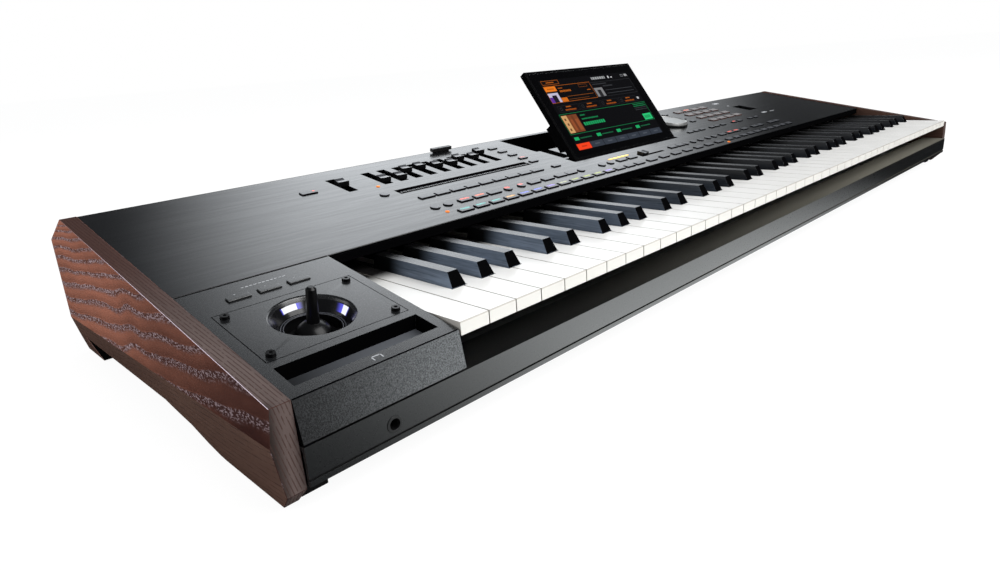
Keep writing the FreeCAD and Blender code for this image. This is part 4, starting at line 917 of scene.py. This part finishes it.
class KEYBOARD_OT_top(Operator):
    """Dress the brushed top panel, the strip under its front edge, the rear wall and the rest clips"""
    bl_idname = "keyboard.top"
    bl_label = "Top panel"

    def execute(self, context):
        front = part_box("top_panel")[0].y + 1.0 * MM
        # Painted shade: the panel's front face takes the near-black strip.
        finished("top_panel", ("brushed_panel", "strip"), "case_round",
                 pick=lambda edge: all(v.co.y < front for v in edge.verts),
                 paint=lambda face: 1 if face.normal.y < -FACING else 0)
        finished_plain(("fallboard", "black_plastic", "strip", "fine_round"),
                       ("rear_panel", "dark_plastic", "dark_plastic", "case_round"),
                       ("music_rest_clips", "black_plastic", "black_plastic", "clip_round"),
                       ("display_well", "black_plastic", "felt", "fine_round"))
        return {"FINISHED"}


class KEYBOARD_OT_keys(Operator):
    """Dress the white and the black keys"""
    bl_idname = "keyboard.keys"
    bl_label = "Keys"

    def execute(self, context):
        for letter in "cdefgab":
            # The sides of the white keys take painted shade.
            finished("keys_" + letter, ("white_key", "key_side"), "key_round",
                     paint=lambda face: 1 if abs(face.normal.x) > FACING else 0)
        materials = ("black_key", "black_key_end", "black_key_top", "black_key_rim")
        for letter in "cdfga":
            # The rounded faces between top and flanks take the painted highlight.
            finished("keys_%s_sharp" % letter, materials, "sharp_round", paint=self.tone,
                     rim=lambda face: face.normal.z > 0.3 and abs(face.normal.x) > 0.3)
        return {"FINISHED"}

    @staticmethod
    def tone(face):
        """Dark end as painted shade, pale top as painted sheen and flanks with a painted sheen between the two for a
        black key.
        """
        if face.normal.y < -0.5:
            return 1
        return 2 if face.normal.z > FACING else 0


class KEYBOARD_OT_block(Operator):
    """Dress the control block, its joystick plate and the assign buttons"""
    bl_idname = "keyboard.block"
    bl_label = "Control block"

    def execute(self, context):
        finished("control_block", ("block_front", "block_top", "tray_floor", "strip"), "case_round",
                 paint=self.tone, rim=lambda face: face.normal.y < -0.4 and face.normal.z > 0.2)
        low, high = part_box("joystick_plate")

        def outer(edge):
            return all(min(v.co.x - low.x, high.x - v.co.x, v.co.y - low.y, high.y - v.co.y) < 4.0 * MM
                       for v in edge.verts)

        # Painted shade: the plate's rounded outer edges are near black, for the dark groove around the plate.
        finished("joystick_plate", ("block_top", "strip"), "plate_round", pick=outer,
                 rim=lambda face: True)
        self.seams()
        finished_plain(("assign_buttons", "dark_plastic", "block_top", "button_round"))
        self.marks()
        return {"FINISHED"}

    @staticmethod
    def tone(face):
        """Smoother top, with the tray's walls dark by painted shade and a tray floor made paler by painted light."""
        x, s, w = panel_place(face.calc_center_median())
        if face.normal.z < FACING:
            # Faces behind the front edge that are not tops take the near-black strip as painted shade.
            return 3 if s > 5.0 else 0
        return 2 if w < -2.0 else 1

    @staticmethod
    def seams():
        """Dark seams along the rear and the front edge of the block's top."""
        places = [panel_place(v.co) for v in frame["nodes"]["control_block"].data.vertices]
        edge = [p for p in places if p.z > -0.3]
        low, high = Vector(map(min, zip(*edge))), Vector(map(max, zip(*edge)))
        middle, width = (low.x + high.x) / 2, high.x - low.x - 1.0
        seams = [((middle, s, 0.0), (width, depth, SEAM_HEIGHT), SEAM)
                 for s, depth in ((high.y - 0.4, 1.3), (low.y + 0.6, 1.2))]
        plates("block_seams", seams, "strip", "base", 0.0)

    @staticmethod
    def marks():
        """Dot behind each assign button and a row of plain dashes behind them all."""
        marks = [(((low.x + high.x) / 2, high.y + 3.0, 0.0), (0.9, 0.7, PRINT_HEIGHT), PRINT)
                 for low, high in islands("assign_buttons")]
        start, end = marks[0][0][0] + 8.0, marks[-1][0][0] - 4.0
        marks += [((start + (end - start) * step / 10, 124.5, 0.0), (1.9, 1.0, PRINT_HEIGHT), PRINT)
                  for step in range(11)]
        plates("assign_marks", marks, "print_ink", "base")


class KEYBOARD_OT_joystick(Operator):
    """Dress the joystick with its light ring, bowl and stick"""
    bl_idname = "keyboard.joystick"
    bl_label = "Joystick"

    def execute(self, context):
        finished_plain(("joystick_light_ring", "light", "light_ring", "fine_round"),
                       ("joystick_cup", "black_plastic", "black_plastic", "fine_round"),
                       ("joystick_gimbal", "black_plastic", "stick", "fine_round"))
        unmirrored(finished("joystick_stick", ("stick",), "fine_round"))
        # Painted highlight: two thin grey rings stand for the pale arcs of light low in the bowl.
        for number, radius in enumerate(JOYSTICK_RINGS, 1):
            name = "joystick_ring_%d" % number
            patterned(name, point_mesh(name, [on_panel(*JOYSTICK, RING_DEPTH)]), ring_pattern,
                      {"Radius": radius * MM, "Section": 0.4 * MM}, "button", "base")
        return {"FINISHED"}


class KEYBOARD_OT_rail(Operator):
    """Dress the front rail and the headphone jack"""
    bl_idname = "keyboard.rail"
    bl_label = "Front rail"

    def execute(self, context):
        finished("front_rail", ("rail", "rail_top"), "fine_round",
                 paint=lambda face: 1 if face.normal.z > FACING else 0)
        finished_plain(("headphone_jack", "black_plastic", "black_plastic", "fine_round"))
        return {"FINISHED"}


class KEYBOARD_OT_display(Operator):
    """Dress the tilting display and its hinge pins"""
    bl_idname = "keyboard.display"
    bl_label = "Display"

    def execute(self, context):
        unmirrored(finished("display_housing", ("gloss_black",), "display_round"))
        unmirrored(finished("display_screen", ("glass",), "fine_round"))
        finished_plain(("display_hinge_pins", "steel", "steel", "fine_round"))
        return {"FINISHED"}


class KEYBOARD_OT_sliders(Operator):
    """Dress the slider caps, the crossfader and the large dial"""
    bl_idname = "keyboard.sliders"
    bl_label = "Sliders and dial"

    def execute(self, context):
        for node in ["volume_slider", "crossfader"] + ["part_slider_%d" % n for n in range(1, 10)]:
            # Painted reflection: the tops of the caps and of the crossfader are grey, the sides stay black.
            materials = ("stick", "button" if node == "crossfader" else "cap_top")
            unmirrored(finished(node, materials, "button_round",
                                paint=lambda face: 1 if face.normal.z > 0.6 else 0))
        finished_plain(("value_dial", "dial", "dial", "button_round"))
        return {"FINISHED"}


TEAL, YELLOW, BLUE = (78, 180, 172), (228, 172, 84), (104, 118, 226)
VIOLET, LIME, RED = (150, 120, 225), (170, 185, 70), (246, 84, 58)
PALE, ORANGE, PINK = (176, 182, 140), (246, 104, 52), (240, 120, 112)
PRINT, PRINT_HEIGHT = (200, 200, 200), 0.05
SEAM, SEAM_HEIGHT = (6, 6, 6), 0.06
FRONT_ROW_TINTS = (TEAL, TEAL, TEAL, YELLOW, BLUE, BLUE, VIOLET, PALE, LIME, LIME, LIME, VIOLET)
OTHER_LIGHTS = {
    "player_buttons": ((160.3, 168.7, RED), (178.6, 168.7, ORANGE), (214.9, 168.7, RED), (233.4, 168.7, PINK),
                       (656.0, 168.7, RED), (674.6, 168.7, RED)),
    "strip_buttons": ((309.8, 237.5, PINK),),
    "style_buttons": ((731.1, 200.8, RED), (741.7, 286.0, ORANGE)),
}
LAMPS = ((121.0, 243.8), (127.0, 154.8), (600.7, 141.8))
# The pads of the style grid lie right of this x and behind this s.
STYLE_GRID = (700.0, 215.0)
# Share of a button's width and depth that a light window takes, how far back it lies and how deep it is sunk
WINDOW_WIDTH, WINDOW_DEPTH, WINDOW_PLACE, WINDOW_SINK = 0.72, 0.42, 0.68, 0.01
# Plain printed marks, as x, s, width and depth.
PANEL_PRINTS = (
    (848.1, 293.2, 17.0, 7.0), (850.5, 271.7, 6.0, 2.4), (857.7, 212.3, 15.0, 5.0), (884.0, 211.0, 16.0, 1.6),
    (-56.4, 5.6, 0.8, 3.2), (-50.8, 5.6, 0.8, 3.2), (-53.6, 7.4, 5.0, 0.8),
)


class KEYBOARD_OT_buttons(Operator):
    """Dress the panel buttons and their light windows"""
    bl_idname = "keyboard.buttons"
    bl_label = "Buttons"

    def execute(self, context):
        height = context.scene.keyboard_sizes.window_height / MM
        for node in ("arranger_buttons", "player_buttons", "strip_buttons", "style_buttons"):
            finished(node, ("button", "pad", "pad_side", "strip"), "fine_round", paint=self.tone)
            boxes = islands(node)
            if node == "arranger_buttons":
                chosen = list(zip(boxes, FRONT_ROW_TINTS))
            else:
                chosen = [(min(boxes, key=lambda b: abs((b[0].x + b[1].x) / 2 - x) + abs((b[0].y + b[1].y) / 2 - s)),
                           tint) for x, s, tint in OTHER_LIGHTS[node]]
            rows = []
            for (low, high), tint in chosen:
                depth, width = high.y - low.y, high.x - low.x
                rows.append((((low.x + high.x) / 2, low.y + depth * WINDOW_PLACE, high.z - WINDOW_SINK),
                             (width * WINDOW_WIDTH, depth * WINDOW_DEPTH, height), tint))
            if node == "strip_buttons":
                low, high = boxes[0]
                rows.append(((high.x - 2.2, high.y - 2.4, high.z - WINDOW_SINK), (2.2, 2.6, height), RED))
            plates(node + "_lights", rows, "lit_window", body_of(node))
        return {"FINISHED"}

    @staticmethod
    def tone(face):
        """Grey tops as painted reflection and near-black sides as painted shade, with pale tops and warm sides for
        the pads of the style grid.
        """
        x, s, w = panel_place(face.calc_center_median())
        tops = face.normal.z > FACING
        if x < STYLE_GRID[0] or s < STYLE_GRID[1]:
            # Plain buttons: grey tops as painted reflection, near-black sides as painted shade.
            return 0 if tops else 3
        return 1 if tops else 2


class KEYBOARD_OT_panel_marks(Operator):
    """Dress the touch strip with its ticks, the panel lamps and the printed marks"""
    bl_idname = "keyboard.panel_marks"
    bl_label = "Panel marks"

    def execute(self, context):
        sizes = context.scene.keyboard_sizes
        finished_plain(("ribbon_strip", "black_plastic", "strip", "fine_round"))
        low, high = islands("ribbon_strip")[0]
        start, end = on_panel(low.x + 4.0, low.y + 4.9, high.z), on_panel(high.x - 2.0, low.y + 4.9, high.z)
        patterned("ribbon_ticks", bpy.data.meshes.new("ribbon_ticks"), tick_pattern,
                  {"Count": sizes.tick_count, "Start": start, "End": end,
                   "Size": (sizes.tick_width, 2.4 * MM, 0.1 * MM)},
                  "print_ink", "base")
        lamps = point_mesh("panel_lamps", [on_panel(x, s) for x, s in LAMPS])
        patterned("panel_lamps", lamps, lamp_pattern, {"Radius": sizes.lamp_radius}, "lamp", "base")
        plates("panel_light_bar", [((406.0, 178.0, 0.0), (38.5, 2.6, 0.3), (255, 212, 70))], "lit_bar", "base")
        marks = [((x, s, 0.0), (width, depth, PRINT_HEIGHT), PRINT) for x, s, width, depth in PANEL_PRINTS]
        plates("panel_prints", marks, "print_ink", "base")
        return {"FINISHED"}


class KEYBOARD_OT_rear(Operator):
    """Dress the rear sockets, the inlet and the power switch"""
    bl_idname = "keyboard.rear"
    bl_label = "Rear"

    def execute(self, context):
        finished_plain(("rear_sockets", "black_plastic", "black_plastic", "fine_round"),
                       ("power_inlet", "black_plastic", "black_plastic", "fine_round"),
                       ("power_switch", "black_plastic", "gloss_black", "fine_round"))
        return {"FINISHED"}


class KEYBOARD_OT_underside(Operator):
    """Dress the case floor, the feet and the screws"""
    bl_idname = "keyboard.underside"
    bl_label = "Underside"

    def execute(self, context):
        finished_plain(("bottom_case", "dark_plastic", "dark_plastic", "fine_round"),
                       ("rubber_feet", "rubber", "rubber", "case_round"),
                       ("machine_screws", "screw", "screw", "fine_round"))
        return {"FINISHED"}


class KEYBOARD_OT_inside(Operator):
    """Paint the parts inside that keep their solids"""
    bl_idname = "keyboard.inside"
    bl_label = "Inside"

    def execute(self, context):
        for node, material in (("key_frame", "supply"), ("key_pivot_rod", "steel"), ("contact_board", "circuit"),
                               ("panel_board", "felt"), ("main_board", "circuit"), ("power_supply", "supply")):
            painted(node, material)
        return {"FINISHED"}


# Metres from the object to the edge of the floor and to the card
FLOOR_HALF = 30.0
CARD_REACH = 2.6
# Name, place, aim, size and power of each light, in metres and watts
LIGHTS = (
    ("key_light", (0.8, -2.0, 2.3), (0.45, -0.1, 0.05), (2.8, 2.4), 98.0),
    ("side_light", (-1.7, 0.4, 0.4), (-0.6, 0.1, 0.06), (1.0, 0.6), 6.8),
)


class KEYBOARD_OT_stage(Operator):
    """Set up the floor, the lights and the camera"""
    bl_idname = "keyboard.stage"
    bl_label = "Stage"

    def execute(self, context):
        scene = context.scene
        scene.view_settings.view_transform = "Standard"
        self.world(scene)
        self.floor(scene)
        self.card(scene)
        for light in LIGHTS:
            self.lamp(scene, *light)
        data = bpy.data.cameras.new("camera")
        data.lens = CAMERA_LENS
        data.sensor_width = CAMERA_SENSOR
        data.clip_start, data.clip_end = CAMERA_RANGE
        camera = bpy.data.objects.new("camera", data)
        turn = Matrix((CAMERA_RIGHT, [-c for c in CAMERA_DOWN], [-c for c in CAMERA_AHEAD])).transposed()
        camera.matrix_world = Matrix.Translation(at(*CAMERA_PLACE)) @ turn.to_4x4()
        scene.collection.objects.link(camera)
        scene.camera = camera
        return {"FINISHED"}

    @staticmethod
    def seen(graph):
        """1 for camera and transmission rays, which see the plain white background."""
        path = graph.node("ShaderNodeLightPath")
        return path.output("Is Camera Ray").most(path.output("Is Transmission Ray"))

    @staticmethod
    def glossy(graph):
        """1 for glossy rays, which see softer surroundings than the camera does."""
        return graph.node("ShaderNodeLightPath", None, None, "Is Glossy Ray")

    def world(self, scene):
        """White for the camera, soft light on the object and dim reflections."""
        scene.world = bpy.data.worlds.new("studio")
        graph = Graph.bare(scene.world)
        soft = graph.glow("ShaderNodeBackground", (0.96, 0.98, 1.0, 1.0), 0.5)
        dim = graph.glow("ShaderNodeBackground", (0.9, 0.95, 1.0, 1.0), 0.07)
        white = graph.glow("ShaderNodeBackground", WHITE, 1.0)
        lit = graph.mix(self.glossy(graph), soft, dim)
        graph.node("ShaderNodeOutputWorld", None, {"Surface": graph.mix(self.seen(graph), lit, white)})

    def floor(self, scene):
        """Pale floor that keeps the shadow, with a pool of light that only glossy surfaces see."""
        material = bpy.data.materials.new("pale_floor")
        graph = Graph.bare(material)
        matt = graph.node("ShaderNodeBsdfDiffuse", None, {"Color": (0.9, 0.9, 0.9, 1.0)})
        white = graph.glow("ShaderNodeEmission", WHITE, 1.08)
        mixed = graph.mix(self.seen(graph) * 0.86, matt, white)
        x = graph.node("ShaderNodeSeparateXYZ", None, {0: graph.node("ShaderNodeTexCoord", None, None, "Object")})
        pool = x.ease(-0.59, -0.288) * (1.0 - x.ease(-0.5, 0.48))
        lit = graph.glow("ShaderNodeEmission", pool.blend(BLACK, (0.96, 1.0, 1.0, 1.0)), 3.7)
        graph.node("ShaderNodeOutputMaterial", None, {"Surface": graph.mix(self.glossy(graph), mixed, lit)})
        self.sheet(scene, "floor", material, [(u * FLOOR_HALF, v * FLOOR_HALF, 0.0)
                                              for u, v in ((-1, -1), (1, -1), (1, 1), (-1, 1))])

    def card(self, scene):
        """Large pale card behind the instrument, which only its glossy surfaces see."""
        ahead, right = Vector((0.656, 0.656, 0.375)), Vector((0.7071, -0.7071, 0.0))
        up = right.cross(ahead)
        material = bpy.data.materials.new("pale_card")
        graph = Graph.bare(material)
        place = graph.node("ShaderNodeTexCoord", None, None, "Object")
        across, height = (graph.node("ShaderNodeVectorMath", {"operation": "DOT_PRODUCT"},
                                     {0: place, 1: way}, "Value") for way in (right, up))
        rise = across.ease(-1.85, -0.75) * 0.87 - across.ease(-0.5, 0.1) * 0.15
        slant = across - height * 0.4
        upper = rise - slant.ease(0.45, 1.1) * 0.6 - slant.ease(1.05, 1.4) * 0.13 + 0.02
        high = height.ease(-0.66, -0.52)
        shine = upper * high + (1.0 - high) * 0.12
        lit = graph.glow("ShaderNodeEmission", shine.blend(BLACK, (0.92, 0.96, 1.0, 1.0)), 2.7)
        graph.node("ShaderNodeOutputMaterial", None, {"Surface": lit})
        corners = [ahead * CARD_REACH + right * u + up * v
                   for u, v in ((-2.2, -0.9), (2.6, -0.9), (2.6, 1.1), (-2.2, 1.1))]
        card = self.sheet(scene, "card", material, corners)
        card.visible_camera = card.visible_diffuse = card.visible_shadow = False

    @staticmethod
    def sheet(scene, name, material, corners):
        """Plane of the stage."""
        mesh = bpy.data.meshes.new(name)
        mesh.from_pydata(corners, [], [(0, 1, 2, 3)])
        mesh.materials.append(material)
        piece = bpy.data.objects.new(name, mesh)
        scene.collection.objects.link(piece)
        return piece

    @staticmethod
    def lamp(scene, name, place, target, size, power):
        """Area light that faces a target."""
        data = bpy.data.lights.new(name, "AREA")
        data.shape = "RECTANGLE"
        data.size, data.size_y = size
        data.energy = power
        lamp = bpy.data.objects.new(name, data)
        aim = (Vector(target) - Vector(place)).to_track_quat("-Z", "Y")
        lamp.matrix_world = Matrix.Translation(place) @ aim.to_matrix().to_4x4()
        scene.collection.objects.link(lamp)


class KEYBOARD_PT_pieces(Panel):
    """Lists the steps that build the keyboard"""
    bl_idname = "KEYBOARD_PT_pieces"
    bl_label = "Arranger keyboard"
    bl_space_type = "VIEW_3D"
    bl_region_type = "UI"
    bl_category = "Keyboard"

    def draw(self, context):
        for operator in OPERATORS:
            self.layout.operator(operator.bl_idname)


OPERATORS = (
    KEYBOARD_OT_finishes, KEYBOARD_OT_stage, KEYBOARD_OT_cheeks, KEYBOARD_OT_top, KEYBOARD_OT_keys,
    KEYBOARD_OT_block, KEYBOARD_OT_joystick, KEYBOARD_OT_rail, KEYBOARD_OT_display, KEYBOARD_OT_sliders,
    KEYBOARD_OT_buttons, KEYBOARD_OT_panel_marks, KEYBOARD_OT_rear, KEYBOARD_OT_underside, KEYBOARD_OT_inside,
)
CLASSES = (KeyboardSizes, KeyboardColours) + OPERATORS + (KEYBOARD_PT_pieces,)


def register():
    for each in CLASSES:
        bpy.utils.register_class(each)
    bpy.types.Scene.keyboard_sizes = PointerProperty(type=KeyboardSizes)
    bpy.types.Scene.keyboard_colours = PointerProperty(type=KeyboardColours)


def unregister():
    del bpy.types.Scene.keyboard_colours
    del bpy.types.Scene.keyboard_sizes
    for each in reversed(CLASSES):
        bpy.utils.unregister_class(each)


def main():
    register()
    for operator in OPERATORS:
        group, name = operator.bl_idname.split(".")
        getattr(getattr(bpy.ops, group), name)()


if __name__ == "__main__":
    main()
